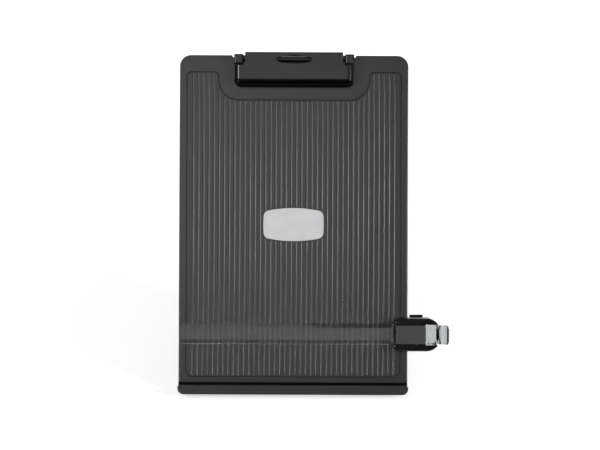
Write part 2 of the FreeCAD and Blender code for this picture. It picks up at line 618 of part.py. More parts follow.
ribs = sketch_on(board, "ribs", "XY_Plane", RIB_FLOOR)
rectangle(ribs, f"-{BAY_OUT} + Sizes.bay_wall / 2", f"{BAY_OUT} - Sizes.bay_wall / 2",
          BAY_TOP, f"{BAY_TOP} + Sizes.rib_wall")
height = s.rib_first
index = 0
while height < s.leg_pivot:
    low = f"Sizes.rib_first + {index} * Sizes.rib_step"
    for left, right in ((f"{BAY_OUT} - 1", f"{RAIL_IN} + 1"), (f"-{RAIL_IN} - 1", f"-{BAY_OUT} + 1")):
        rectangle(ribs, left, right, low, f"{low} + Sizes.rib_wall")
    index += 1
    height = s.rib_first + index * s.rib_step
for step in range(2):
    low = f"Sizes.crown_rib + {step} * Sizes.crown_step"
    rectangle(ribs, f"-{RAIL_IN} - 1", f"{RAIL_IN} + 1", low, f"{low} + Sizes.rib_wall")
pad(board, ribs, RIB_LENGTH)

bosses = sketch_on(board, "pin_bosses", "XY_Plane", RIB_FLOOR)
for left, right in ((f"{BAY_OUT} - 1", f"{BAY_OUT} + Sizes.pin_boss"),
                    (f"-{BAY_OUT} - Sizes.pin_boss", f"-{BAY_OUT} + 1")):
    rectangle(bosses, left, right, "Sizes.leg_pivot - Sizes.pin_boss_half",
              "Sizes.leg_pivot + Sizes.pin_boss_half")
pad(board, bosses, RIB_LENGTH)

pin_hole = sketch_on(board, "pin_hole", "YZ_Plane")
circle(pin_hole, "Sizes.leg_pivot", "Sizes.leg_pivot_in", "Sizes.leg_pin_radius + Sizes.touch_gap")
pocket(board, pin_hole, f"2 * ({BAY_OUT} + Sizes.pin_boss)", both=True)

# Seats of the clip's screws
SCREW_SEAT = "Sizes.board_depth - Sizes.face_wall - Sizes.screw_seat"
seats = sketch_on(board, "screw_seats", "XY_Plane", SCREW_SEAT)
for across in ("Sizes.clip_screw_x", "-Sizes.clip_screw_x"):
    circle(seats, across, "Sizes.clip_screw_y", "Sizes.screw_boss")
pad(board, seats, "Sizes.screw_seat + Sizes.joint_overlap")


def field_outline(inset):
    """The ribbed field's outline, which steps down round the clip's bay."""
    side = half_width - s.groove_inset - inset
    low, top = s.groove_low + inset, s.groove_top - inset
    bay, bay_low = s.bay_half + inset, s.bay_low - inset
    crown = s.groove_corner - inset
    sweep = s.bay_sweep + inset
    return [(-side, low, s.groove_low_corner - inset), (side, low, s.groove_low_corner - inset),
            (side, top, crown), (bay, top, crown), (bay, bay_low, sweep),
            (-bay, bay_low, sweep), (-bay, top, crown), (-side, top, crown)]


# Beads: half-round ridges, cut away again in the bay and round the badge
beads = sketch_on(board, "beads", "XZ_Plane", "-(Sizes.groove_low + Sizes.bead_margin)")
bead_foot = s.board_depth - s.groove_depth / 2
for index in range(int(s.bead_count)):
    middle = (index - (s.bead_count - 1) / 2) * s.bead_pitch
    left, right = middle - s.bead_width / 2, middle + s.bead_width / 2
    corners = [vec(left, s.board_depth), vec(left, bead_foot), vec(right, bead_foot),
               vec(right, s.board_depth)]
    for start, end in zip(corners, corners[1:]):
        beads.addGeometry(Part.LineSegment(start, end), False)
    crest = vec(middle, s.board_depth + s.bead_height)
    beads.addGeometry(Part.Arc(corners[3], crest, corners[0]), False)
pad(board, beads, "Sizes.groove_top - Sizes.groove_low - 2 * Sizes.bead_margin", reverse=True)

bay = sketch_on(board, "bay", "XY_Plane", "Sizes.board_depth")
bay_edge = s.bay_half + s.bead_margin
bay_floor = s.bay_low - s.bead_margin
bay_round = s.bay_sweep + s.bead_margin
loop(bay, [(-bay_edge, bay_floor, bay_round), (bay_edge, bay_floor, bay_round),
           (bay_edge, s.board_top, 0), (-bay_edge, s.board_top, 0)])
pocket(board, bay, "Sizes.bead_height + 1", reverse=True)

groove = sketch_on(board, "groove", "XY_Plane", "Sizes.board_depth")
loop(groove, field_outline(0))
loop(groove, field_outline(s.groove_width))
pocket(board, groove, "Sizes.groove_depth")
fillet(board, "Sizes.groove_round", lambda spot: near(spot.z, s.board_depth - s.groove_depth))

# Holes of the clip's screws and of the ledge's stakes
holes = sketch_on(board, "screw_holes", "XY_Plane")
for across in ("Sizes.clip_screw_x", "-Sizes.clip_screw_x"):
    circle(holes, across, "Sizes.clip_screw_y", "Sizes.screw_radius + Sizes.screw_play")
stakes = int(s.stake_count)
for index in range(stakes):
    circle(holes, f"{index - (stakes - 1) / 2} * Sizes.stake_step", "Sizes.stake_height",
           "Sizes.stake_radius + Sizes.stake_gap")
pocket(board, holes, reverse=True)


def barrel(sketch, grow):
    """The badge's outline, grown by a gap: four bowed edges and round corners."""
    half_x, half_y = s.badge_half_width + grow, s.badge_half_height + grow
    corner = s.badge_corner + grow
    long_radius = (half_x ** 2 + s.badge_bow ** 2) / (2 * s.badge_bow)
    short_radius = (half_y ** 2 + s.badge_side_bow ** 2) / (2 * s.badge_side_bow)
    drop, shift = long_radius - half_y, short_radius - half_x
    # The corner's circle touches both bowed edges from inside.
    reach, span = long_radius - corner, short_radius - corner
    apart = math.hypot(drop, shift)
    along = (reach ** 2 - span ** 2 + apart ** 2) / (2 * apart)
    across = math.sqrt(reach ** 2 - along ** 2)
    toward = vec(-shift / apart, drop / apart)
    centre = vec(0, -drop) + toward * along + vec(toward.y, -toward.x) * across
    top_touch = vec(0, -drop) + (centre - vec(0, -drop)).normalize() * long_radius
    side_touch = vec(-shift, 0) + (centre - vec(-shift, 0)).normalize() * short_radius
    corner_middle = centre + ((top_touch + side_touch) * 0.5 - centre).normalize() * corner

    def place(spot, flip_x, flip_y):
        return vec(spot.x * flip_x, spot.y * flip_y + s.badge_height)

    for sign in (1, -1):
        edges = [(place(top_touch, -1, sign), place(vec(0, half_y), 1, sign), place(top_touch, 1, sign)),
                 (place(side_touch, sign, -1), place(vec(half_x, 0), sign, 1), place(side_touch, sign, 1))]
        edges += [tuple(place(spot, flip, sign) for spot in (top_touch, corner_middle, side_touch))
                  for flip in (1, -1)]
        for edge in edges:
            sketch.addGeometry(Part.Arc(*edge), False)


clearing = sketch_on(board, "badge_clearing", "XY_Plane", "Sizes.board_depth")
barrel(clearing, s.badge_gap + s.bead_margin / 2)
pocket(board, clearing, "Sizes.bead_height + 1", reverse=True)
recess = sketch_on(board, "badge_recess", "XY_Plane", "Sizes.board_depth")
barrel(recess, s.badge_gap)
pocket(board, recess, "Sizes.badge_recess")


# Badge: a bare plate with a thin raised rim, on an adhesive pad in its recess

tape = new_body("badge_tape")
tape_outline = sketch_on(tape, "outline", "XY_Plane", "Sizes.board_depth - Sizes.badge_recess")
barrel(tape_outline, -s.tape_inset)
pad(tape, tape_outline, "Sizes.tape_thick")

badge = new_body("badge_plate")
plate = sketch_on(badge, "outline", "XY_Plane",
                  "Sizes.board_depth - Sizes.badge_recess + Sizes.tape_thick")
barrel(plate, 0)
pad(badge, plate, "Sizes.badge_thick")
dish = sketch_on(badge, "dish", "XY_Plane",
                 "Sizes.board_depth - Sizes.badge_recess + Sizes.tape_thick + Sizes.badge_thick")
barrel(dish, -s.badge_rim)
pocket(badge, dish, "Sizes.badge_rim_rise")


# Paper ledge: a trough along the bottom edge, staked through the board's face

ledge = new_body("paper_ledge")
section = sketch_on(ledge, "section", "YZ_Plane")
face = s.board_depth
lip_front, lip_back = face + s.ledge_reach, face + s.ledge_reach - s.ledge_wall
flange = face + s.ledge_wall
loop(section, [(s.ledge_low, face, 0), (s.ledge_low, lip_front, 0), (s.ledge_lip, lip_front, 0),
               (s.ledge_lip, lip_back, 0), (s.ledge_floor, lip_back, s.ledge_round),
               (s.ledge_floor, flange, s.ledge_round), (s.ledge_flange, face + s.flange_edge, 0),
               (s.ledge_flange, face, 0)])
pad(ledge, section, "2 * Sizes.ledge_half", both=True)
fillet(ledge, "Sizes.ledge_corner",
       lambda spot: near(abs(spot.x), s.ledge_half) and near(spot.y, s.ledge_low))
fillet(ledge, "Sizes.ledge_top_corner",
       lambda spot: near(abs(spot.x), s.ledge_half) and near(spot.y, s.ledge_lip))
fillet(ledge, "Sizes.ledge_round", lambda spot: near(spot.z, lip_front))

cells = sketch_on(ledge, "cells", "XZ_Plane", "-Sizes.ledge_low")
count = int(s.ledge_cells)
CELL = f"((2 * Sizes.ledge_half - 2 * Sizes.ledge_corner) / {count})"
for index in range(count):
    left = f"{CELL} * {index - count / 2}"
    rectangle(cells, f"{left} + Sizes.ledge_wall / 2", f"{left} + {CELL} - Sizes.ledge_wall / 2",
              "Sizes.board_depth + Sizes.ledge_wall",
              "Sizes.board_depth + Sizes.ledge_reach - Sizes.ledge_wall")
pocket(ledge, cells, "Sizes.ledge_floor - Sizes.ledge_deck - Sizes.ledge_low")

shanks = sketch_on(ledge, "stakes", "XY_Plane", "Sizes.board_depth")
heads = sketch_on(ledge, "stake_heads", "XY_Plane", "Sizes.board_depth - Sizes.face_wall")
for index in range(stakes):
    across = f"{index - (stakes - 1) / 2} * Sizes.stake_step"
    circle(shanks, across, "Sizes.stake_height", "Sizes.stake_radius")
    circle(heads, across, "Sizes.stake_height", "Sizes.stake_head")
pad(ledge, shanks, "Sizes.face_wall + Sizes.stake_head_thick / 2", reverse=True)
pad(ledge, heads, "Sizes.stake_head_thick", reverse=True)


# Rubber strip: a wedge under the bottom edge, flat on the desk when the board leans

strip = new_body("edge_strip")
wedge = sketch_on(strip, "section", "YZ_Plane")
strip_rise = desk_slope * (s.strip_front - s.strip_back)
loop(wedge, [(s.board_low, s.strip_back, 0), (strip_rise, s.strip_back, 0),
             (0, s.strip_front, 0), (s.board_low, s.strip_front, 0)])
pad(strip, wedge, "2 * Sizes.strip_half", both=True)


# Clip base: a plate in the bay with two hinge ears and the middle knuckle

base = new_body("clip_base")
FACE = "Sizes.board_depth"
plan = sketch_on(base, "plate", "XY_Plane", FACE)
rectangle(plan, "-Sizes.ear_outer", "Sizes.ear_outer", "Sizes.base_low", "Sizes.base_top")
pad(base, plan, "Sizes.base_thick")

ears = sketch_on(base, "ears", "XY_Plane", FACE)
for left, right in (("Sizes.ear_inner", "Sizes.ear_outer"), ("-Sizes.ear_outer", "-Sizes.ear_inner")):
    rectangle(ears, left, right, "Sizes.clip_axis - Sizes.ear_half_height",
              "Sizes.clip_axis + Sizes.ear_half_height")
pad(base, ears, "Sizes.ear_rise")
fillet(base, "Sizes.ear_round", lambda spot: near(spot.z, s.board_depth + s.ear_rise))

knuckle = sketch_on(base, "knuckle", "YZ_Plane")
axis_z = s.board_depth + s.clip_axis_rise
low, high = s.clip_axis - s.knuckle_radius, s.clip_axis + s.knuckle_radius
foot_high = high - s.knuckle_taper
knuckle_foot = s.board_depth + s.base_thick / 2
for start, end in (((low, axis_z), (low, knuckle_foot)), ((low, knuckle_foot), (foot_high, knuckle_foot)),
                   ((foot_high, knuckle_foot), (high, axis_z))):
    knuckle.addGeometry(Part.LineSegment(vec(*start), vec(*end)), False)
knuckle.addGeometry(Part.Arc(vec(high, axis_z), vec(s.clip_axis, axis_z + s.knuckle_radius),
                             vec(low, axis_z)), False)
pad(base, knuckle, "2 * Sizes.knuckle_half", both=True)

screw_towers = sketch_on(base, "screw_towers", "XY_Plane", FACE)
for across in ("Sizes.clip_screw_x", "-Sizes.clip_screw_x"):
    circle(screw_towers, across, "Sizes.clip_screw_y", "Sizes.screw_boss")
pad(base, screw_towers, "Sizes.screw_boss_rise")

spring_seats = sketch_on(base, "spring_seats", "XY_Plane", FACE)
seat_reach = "Sizes.clip_coil_turns * Sizes.clip_coil_pitch / 2 + Sizes.seat_margin"
seat_low = "Sizes.clip_axis - Sizes.clip_spring_arm"
for sign in ("", "-"):
    middle = f"{sign}Sizes.clip_coil_x"
    rectangle(spring_seats, f"{middle} - ({seat_reach})", f"{middle} + ({seat_reach})",
              seat_low, f"{seat_low} + Sizes.seat_length")
pad(base, spring_seats,
    "Sizes.clip_axis_rise - Sizes.clip_coil_radius - Sizes.clip_wire / 2 - Sizes.touch_gap")

ear_hole = sketch_on(base, "pin_hole", "YZ_Plane")
circle(ear_hole, "Sizes.clip_axis", "Sizes.board_depth + Sizes.clip_axis_rise",
       "Sizes.clip_pin_radius + Sizes.touch_gap")
pocket(base, ear_hole, "2 * Sizes.clip_half", both=True)
bites = sketch_on(base, "screw_holes", "XY_Plane", FACE)
for across in ("Sizes.clip_screw_x", "-Sizes.clip_screw_x"):
    circle(bites, across, "Sizes.clip_screw_y", "Sizes.screw_radius + Sizes.touch_gap")
pocket(base, bites, "Sizes.screw_bite + Sizes.screw_room", reverse=True)


# Clip jaw: a hollow lever with a rolled lip, cut back beside the ears

jaw = new_body("clip_jaw")
side = sketch_on(jaw, "side", "YZ_Plane")
crown = face + s.clip_rise
lip_edge = s.clip_low + s.clip_lip_thick
loop(side, [(s.clip_low, crown, s.clip_nose), (s.clip_low, face + s.clip_lip_gap, 0),
            (lip_edge, face + s.clip_lip_gap, 0), (lip_edge, face + s.clip_hem, 0),
            (s.clip_shoulder, face + s.clip_hem, 0), (s.clip_shoulder, face + s.clip_flap_hem, 0),
            (s.clip_crest, face + s.clip_flap_hem, 0), (s.clip_crest, crown, s.crest_round)])
pad(jaw, side, "2 * Sizes.clip_half", both=True)

shoulders = sketch_on(jaw, "shoulders", "XY_Plane")
for left, right in (("Sizes.clip_neck_half", "Sizes.clip_half + 1"),
                    ("-Sizes.clip_half - 1", "-Sizes.clip_neck_half")):
    rectangle(shoulders, left, right, "Sizes.clip_shoulder", "Sizes.clip_crest + 1")
pocket(jaw, shoulders, reverse=True)
fillet(jaw, "Sizes.clip_side_round",
       lambda spot: near(abs(spot.x), s.clip_half) and near(spot.z, crown))

corners = sketch_on(jaw, "corners", "XY_Plane")
for sign in (-1, 1):
    edge, inner = sign * s.clip_half, sign * (s.clip_half - s.clip_corner)
    outside, below = sign * (s.clip_half + 1), s.clip_low - 1
    turn = s.clip_corner * (1 - math.sqrt(0.5))
    spots = [vec(inner, s.clip_low), vec(inner, below), vec(outside, below),
             vec(outside, s.clip_low + s.clip_corner), vec(edge, s.clip_low + s.clip_corner)]
    for start, end in zip(spots, spots[1:]):
        corners.addGeometry(Part.LineSegment(start, end), False)
    corners.addGeometry(Part.Arc(spots[-1], vec(edge - sign * turn, s.clip_low + turn), spots[0]), False)
pocket(jaw, corners, reverse=True)

hollow = sketch_on(jaw, "hollow", "XY_Plane")
wall_half = s.clip_half - s.clip_side_round - s.joint_overlap
neck_inner = s.clip_neck_half - s.clip_wall
flap_inner, skirt_inner = s.clip_crest - s.clip_wall, s.clip_shoulder - s.clip_wall
small = s.hollow_corner
loop(hollow, [(-wall_half, lip_edge, s.clip_corner), (wall_half, lip_edge, s.clip_corner),
              (wall_half, skirt_inner, small), (neck_inner, skirt_inner, small),
              (neck_inner, flap_inner, small), (-neck_inner, flap_inner, small),
              (-neck_inner, skirt_inner, small), (-wall_half, skirt_inner, small)])
pocket(jaw, hollow, "Sizes.board_depth + Sizes.clip_rise - Sizes.clip_wall", reverse=True)

for name, sign in (("lugs_right", 1), ("lugs_left", -1)):
    lug = sketch_on(jaw, name, "YZ_Plane", f"{sign} * (Sizes.lug_inner + Sizes.lug_thick / 2)")
    back, front = s.clip_axis - s.lug_radius, s.clip_axis + s.lug_radius
    roof = crown - s.clip_wall / 2
    for start, end in (((back, axis_z), (back, roof)), ((back, roof), (front, roof)),
                       ((front, roof), (front, axis_z))):
        lug.addGeometry(Part.LineSegment(vec(*start), vec(*end)), False)
    lug.addGeometry(Part.Arc(vec(front, axis_z), vec(s.clip_axis, axis_z - s.lug_radius),
                             vec(back, axis_z)), False)
    pad(jaw, lug, "Sizes.lug_thick", both=True)

lug_hole = sketch_on(jaw, "pin_hole", "YZ_Plane")
circle(lug_hole, "Sizes.clip_axis", "Sizes.board_depth + Sizes.clip_axis_rise",
       "Sizes.clip_pin_radius + Sizes.pivot_fit")
pocket(jaw, lug_hole, "2 * (Sizes.lug_inner + Sizes.lug_thick) + 1", both=True)

window = sketch_on(jaw, "window", "XY_Plane", "Sizes.board_depth + Sizes.clip_rise")
window.addGeometry(Part.Ellipse(vec(0, s.hole_height), s.hole_half, s.hole_half_height), False)
pocket(jaw, window, "Sizes.clip_wall + 1")

grip_slot = sketch_on(jaw, "grip_slot", "XY_Plane", "Sizes.board_depth + Sizes.clip_lip_gap")
GRIP_LOW = "(Sizes.clip_low + (Sizes.clip_lip_thick - Sizes.grip_depth) / 2)"
rectangle(grip_slot, "-Sizes.grip_half", "Sizes.grip_half", GRIP_LOW, f"{GRIP_LOW} + Sizes.grip_depth")
pocket(jaw, grip_slot, "Sizes.grip_thick + Sizes.grip_lift - Sizes.clip_lip_gap", reverse=True)

grip = new_body("grip_pad")
grip_plan = sketch_on(grip, "plan", "XY_Plane", "Sizes.board_depth + Sizes.grip_lift")
rectangle(grip_plan, "-Sizes.grip_half + Sizes.touch_gap", "Sizes.grip_half - Sizes.touch_gap",
          f"{GRIP_LOW} + Sizes.touch_gap", f"{GRIP_LOW} + Sizes.grip_depth - Sizes.touch_gap")
pad(grip, grip_plan, "Sizes.grip_thick")


# Clip pin, springs and screws

def rod(label, role, across, up, radius, length, along="0"):
    """A round pin across the board or along it, centred on the sketch's plane."""
    body = new_body(label)
    section_sketch = sketch_on(body, "section", role, along)
    circle(section_sketch, across, up, radius)
    pad(body, section_sketch, length, both=True)
    return body


clip_pin = rod("clip_pin", "YZ_Plane", "Sizes.clip_axis", "Sizes.board_depth + Sizes.clip_axis_rise",
               "Sizes.clip_pin_radius", "2 * (Sizes.ear_outer - Sizes.pin_inset)")
leg_pin = rod("leg_pin", "YZ_Plane", "Sizes.leg_pivot", "Sizes.leg_pivot_in",
              "Sizes.leg_pin_radius", f"2 * ({BAY_OUT} + Sizes.pin_boss - Sizes.pin_inset)")

clip_coils = [coil("clip_springs", vec(sign * s.clip_coil_x, s.clip_axis, axis_z), X_AXIS, vec(0, -1),
                   s.clip_coil_radius, s.clip_wire, s.clip_coil_pitch, s.clip_coil_turns,
                   (s.clip_spring_arm, s.clip_spring_arm)) for sign in (-1, 1)]
clip_springs = feature_from("clip_springs", Part.makeCompound(clip_coils))


def screws(label, places, radius, length, head, head_thick, seat):
    """A group of like screws: thread towards +Z from the seat, head below it."""
    body = new_body(label)
    threads = sketch_on(body, "threads", "XY_Plane", seat)
    caps = sketch_on(body, "heads", "XY_Plane", seat)
    for across, up in places:
        circle(threads, across, up, radius)
        circle(caps, across, up, head)
    pad(body, threads, length)
    pad(body, caps, head_thick, reverse=True)
    return body


clip_screws = screws("clip_screws", [(f"{sign}Sizes.clip_screw_x", "Sizes.clip_screw_y")
                                     for sign in ("", "-")],
                     "Sizes.screw_radius", "Sizes.face_wall + Sizes.screw_seat + Sizes.screw_bite",
                     "Sizes.screw_head", "Sizes.screw_head_thick", SCREW_SEAT)


# Carriage: a housing over the board's right edge, closed by a hooked back cover

housing = new_body("carriage_housing")
edge_x = half_width + s.edge_gap
bottom, top = s.guide_height - s.carriage_half, s.guide_height + s.carriage_half
arm_floor = s.board_depth + s.arm_lift
plan = sketch_on(housing, "plan", "XY_Plane", "Sizes.board_depth + Sizes.arm_lift")
loop(plan, [(s.carriage_left, bottom, s.carriage_heel), (s.carriage_right, bottom, s.carriage_nose),
            (s.carriage_right, top, s.carriage_nose), (s.carriage_left, top, s.carriage_heel)])
pad(housing, plan, "Sizes.carriage_rise - Sizes.arm_lift")
fillet(housing, "Sizes.carriage_round", lambda spot: near(spot.z, face + s.carriage_rise))
web = sketch_on(housing, "web", "XY_Plane", "-Sizes.back_gap")
loop(web, [(edge_x, bottom, 0), (s.carriage_right, bottom, s.carriage_nose),
           (s.carriage_right, top, s.carriage_nose), (edge_x, top, 0)])
pad(housing, web, "Sizes.board_depth + Sizes.arm_lift + Sizes.back_gap")

channel = sketch_on(housing, "channel", "XZ_Plane", "-Sizes.guide_height")
rectangle(channel, "Sizes.carriage_left - 1", "Sizes.carriage_right + 1",
          "Sizes.board_depth + Sizes.channel_floor", "Sizes.board_depth + Sizes.carriage_rise + 1")
pocket(housing, channel, "2 * Sizes.channel_half", both=True)


def open_slot(body, back):
    """Cut the slot under the finger tab, flared at its mouth between the two horns."""
    slot = sketch_on(body, "slot", "XY_Plane", back)
    beyond = s.carriage_right + 1
    flare = beyond - s.slot_mouth
    low, high = s.guide_height - s.channel_half, s.guide_height + s.channel_half
    loop(slot, [(s.tab_start, low, 0), (s.slot_mouth, low, s.mouth_round), (beyond, low - flare, 0),
                (beyond, high + flare, 0), (s.slot_mouth, high, s.mouth_round), (s.tab_start, high, 0)])
    pocket(body, slot, reverse=True)


open_slot(housing, "-Sizes.back_gap")

GUIDE = "Sizes.guide_height"
hollow = sketch_on(housing, "hollow", "XY_Plane", "-Sizes.back_gap")
HOLLOW_LEFT = "(Sizes.board_width / 2 + Sizes.edge_gap + Sizes.web_wall)"
rectangle(hollow, HOLLOW_LEFT, f"{HOLLOW_LEFT} + Sizes.hollow_width",
          f"{GUIDE} - Sizes.hollow_half", f"{GUIDE} + Sizes.hollow_half")
pocket(housing, hollow, "Sizes.board_depth + Sizes.channel_floor + Sizes.back_gap - Sizes.web_wall",
       reverse=True)

leaf_pocket = sketch_on(housing, "leaf_pocket", "XY_Plane", "Sizes.board_depth / 2")
EDGE = "(Sizes.board_width / 2 + Sizes.edge_gap)"
LEAF_HALF = "(Sizes.leaf_half + Sizes.leaf_play)"
LEAF_BACK = "(Sizes.board_width / 2 + Sizes.leaf_gap + Sizes.leaf_bow + Sizes.leaf_thick)"
rectangle(leaf_pocket, f"{EDGE} - 1", f"{LEAF_BACK} + Sizes.touch_gap",
          f"{GUIDE} - {LEAF_HALF}", f"{GUIDE} + {LEAF_HALF}")
pocket(housing, leaf_pocket, "Sizes.leaf_width + 2 * Sizes.leaf_play", both=True)

spring_seat = sketch_on(housing, "spring_seat", "XY_Plane", "Sizes.board_depth - Sizes.joint_overlap")
rectangle(spring_seat, "Sizes.pivot_x - Sizes.return_wire", "Sizes.pivot_x + Sizes.return_arm",
          f"{GUIDE} - Sizes.return_seat", f"{GUIDE} + Sizes.return_seat")
pad(housing, spring_seat, "Sizes.joint_overlap + Sizes.pivot_rise - Sizes.return_coil"
    " - Sizes.return_wire / 2 - Sizes.touch_gap")

pivot_hole = sketch_on(housing, "pivot_hole", "XZ_Plane", "-Sizes.guide_height")
circle(pivot_hole, "Sizes.pivot_x", "Sizes.board_depth + Sizes.pivot_rise",
       "Sizes.pivot_radius + Sizes.touch_gap")
pocket(housing, pivot_hole, "2 * (Sizes.carriage_half - Sizes.pin_wall)", both=True)

screw_bites = sketch_on(housing, "screw_holes", "XY_Plane", "-Sizes.back_gap")
for sign in "+-":
    circle(screw_bites, "Sizes.carriage_screw_x",
           f"{GUIDE} {sign} Sizes.carriage_screw_half", "Sizes.carriage_screw_radius + Sizes.touch_gap")
pocket(housing, screw_bites,
       "Sizes.carriage_screw_length - Sizes.back_thick / 2 + Sizes.screw_room", reverse=True)

cover = new_body("carriage_back")
cover_plan = sketch_on(cover, "plan", "XY_Plane", "-Sizes.back_gap")
low, high = bottom + s.back_inset, top - s.back_inset
right = s.carriage_right - s.back_inset
loop(cover_plan, [(s.back_left, low, s.back_corner), (right, low, s.carriage_nose),
                  (right, high, s.carriage_nose), (s.back_left, high, s.back_corner)])
pad(cover, cover_plan, "Sizes.back_thick", reverse=True)
open_slot(cover, "-Sizes.back_gap - Sizes.back_thick")
hook = sketch_on(cover, "hook", "XY_Plane", "-Sizes.back_gap - Sizes.joint_overlap")
HOOK_RIGHT = "(Sizes.board_width / 2 - Sizes.rim_wall - Sizes.hook_gap)"
rectangle(hook, f"{HOOK_RIGHT} - Sizes.hook_thick", HOOK_RIGHT,
          f"{GUIDE} - Sizes.carriage_half + Sizes.hook_margin",
          f"{GUIDE} + Sizes.carriage_half - Sizes.hook_margin")
pad(cover, hook, "Sizes.hook_rise + Sizes.back_gap + Sizes.joint_overlap")
thumb = sketch_on(cover, "thumb_rib", "XY_Plane", "-Sizes.back_gap")
rectangle(thumb, f"{EDGE} + Sizes.rib_offset", f"{EDGE} + Sizes.rib_offset + 2 * Sizes.rib_half",
          f"{GUIDE} + Sizes.carriage_half - Sizes.rib_root",
          f"{GUIDE} + Sizes.carriage_half + Sizes.rib_rise")
pad(cover, thumb, "Sizes.back_thick", reverse=True)
cover_holes = sketch_on(cover, "screw_holes", "XY_Plane", "-Sizes.back_gap")
cover_sinks = sketch_on(cover, "screw_sinks", "XY_Plane", "-Sizes.back_gap - Sizes.back_thick")
for sign in "+-":
    up = f"{GUIDE} {sign} Sizes.carriage_screw_half"
    circle(cover_holes, "Sizes.carriage_screw_x", up, "Sizes.carriage_screw_radius + Sizes.screw_play")
    circle(cover_sinks, "Sizes.carriage_screw_x", up, "Sizes.carriage_screw_head + Sizes.screw_play")
pocket(cover, cover_holes)
pocket(cover, cover_sinks, "Sizes.back_thick / 2", reverse=True)

carriage_screws = screws("carriage_screws",
                         [("Sizes.carriage_screw_x", f"{GUIDE} {sign} Sizes.carriage_screw_half")
                          for sign in "+-"],
                         "Sizes.carriage_screw_radius", "Sizes.carriage_screw_length",
                         "Sizes.carriage_screw_head", "Sizes.back_thick / 2 - Sizes.head_sink",
                         "-Sizes.back_gap - Sizes.back_thick / 2")

leaf = new_body("friction_leaf")
bow = sketch_on(leaf, "bow", "XY_Plane", "Sizes.board_depth / 2")
leaf_x = half_width + s.leaf_gap
for inner_x in (leaf_x, leaf_x + s.leaf_thick):
    tips = [vec(inner_x + s.leaf_bow, s.guide_height + sign * s.leaf_half) for sign in (-1, 1)]
    bow.addGeometry(Part.Arc(tips[0], vec(inner_x, s.guide_height), tips[1]), False)
for sign in (-1, 1):
    tip = vec(leaf_x + s.leaf_bow, s.guide_height + sign * s.leaf_half)
    bow.addGeometry(Part.LineSegment(tip, tip + vec(s.leaf_thick, 0)), False)
pad(leaf, bow, "Sizes.leaf_width", both=True)

pivot_pin = rod("guide_pin", "XZ_Plane", "Sizes.pivot_x", "Sizes.board_depth + Sizes.pivot_rise",
                "Sizes.pivot_radius", "2 * (Sizes.carriage_half - Sizes.pin_wall - Sizes.pin_inset)",
                "-Sizes.guide_height")
return_spring = feature_from("guide_spring", coil(
    "guide_spring", vec(s.pivot_x, s.guide_height, face + s.pivot_rise), vec(0, 1), X_AXIS,
    s.return_coil, s.return_wire, s.return_pitch, s.return_turns, (s.return_arm, s.return_finger)))


# Line guide: ruler, stepped neck and upturned finger tab in one clear piece

guide = new_body("line_ruler")
run = sketch_on(guide, "run", "XZ_Plane", "-Sizes.guide_height")
ruler_mid = face + s.guide_lift + s.guide_thick / 2
neck_mid = face + s.neck_rise + s.guide_thick / 2
ribbon(run, [(s.guide_left, ruler_mid, 0), (s.guide_bend, ruler_mid, s.step_round),
             (s.neck_start, neck_mid, s.step_round), (s.tab_start, neck_mid, s.tab_sweep),
             (s.tab_dip, neck_mid - s.tab_dip_drop, s.tab_curl),
             (s.tab_lip, neck_mid + s.tab_lip_rise, s.lip_curl),
             (s.tab_end, neck_mid + s.tab_end_rise, 0)], s.guide_thick)
pad(guide, run, "2 * Sizes.guide_half", both=True)

bevels = sketch_on(guide, "bevels", "YZ_Plane", "Sizes.guide_left - 1")
ruler_top = face + s.guide_lift + s.guide_thick
for sign in (-1, 1):
    rim_y = s.guide_height + sign * (s.guide_half + 0.5)
    slope = s.guide_bevel_drop / s.guide_bevel
    loop(bevels, [(s.guide_height + sign * (s.guide_half - s.guide_bevel), ruler_top, 0),
                  (rim_y, ruler_top - slope * (s.guide_bevel + 0.5), 0), (rim_y, ruler_top + 0.01, 0)])
pocket(guide, bevels, "Sizes.carriage_left - Sizes.waist_gap - Sizes.guide_left + 1", reverse=True)

waist = sketch_on(guide, "waist", "XY_Plane")
for sign in "+-":
    inner, outer = f"{GUIDE} {sign} Sizes.neck_half", f"{GUIDE} {sign} (Sizes.guide_half + 1)"
    rectangle(waist, "Sizes.carriage_left - Sizes.waist_gap", "Sizes.tab_start", inner, outer)
    rectangle(waist, "Sizes.tab_start", "Sizes.tab_end + Sizes.guide_thick",
              f"{GUIDE} {sign} Sizes.tab_half", outer)
pocket(guide, waist, reverse=True)

cap = new_body("rocker_cap")
cap_plan = sketch_on(cap, "plan", "XY_Plane", "Sizes.board_depth + Sizes.cap_hem")
rectangle(cap_plan, "Sizes.cap_left", "Sizes.cap_right", f"{GUIDE} - Sizes.cap_half",
          f"{GUIDE} + Sizes.cap_half")
pad(cap, cap_plan, "Sizes.neck_rise + Sizes.guide_thick + Sizes.cap_top - Sizes.cap_hem")
cap_roof = face + s.neck_rise + s.guide_thick + s.cap_top
fillet(cap, "Sizes.cap_round", lambda spot: near(spot.z, cap_roof))
cap_bore = sketch_on(cap, "bore", "XY_Plane", "Sizes.board_depth + Sizes.cap_hem")
rectangle(cap_bore, "Sizes.cap_left - 1", "Sizes.cap_right + 1",
          f"{GUIDE} - Sizes.cap_half + Sizes.cap_wall", f"{GUIDE} + Sizes.cap_half - Sizes.cap_wall")
pocket(cap, cap_bore, "Sizes.neck_rise + Sizes.guide_thick - Sizes.cap_hem", reverse=True)
cheek_holes = sketch_on(cap, "pin_holes", "XZ_Plane", "-Sizes.guide_height")
circle(cheek_holes, "Sizes.pivot_x", "Sizes.board_depth + Sizes.pivot_rise",
       "Sizes.pivot_radius + Sizes.pivot_fit")
pocket(cap, cheek_holes, "2 * Sizes.cap_half + 2", both=True)


# Easel leg, drawn about its own pivot: Y up the leg, Z towards the board's face

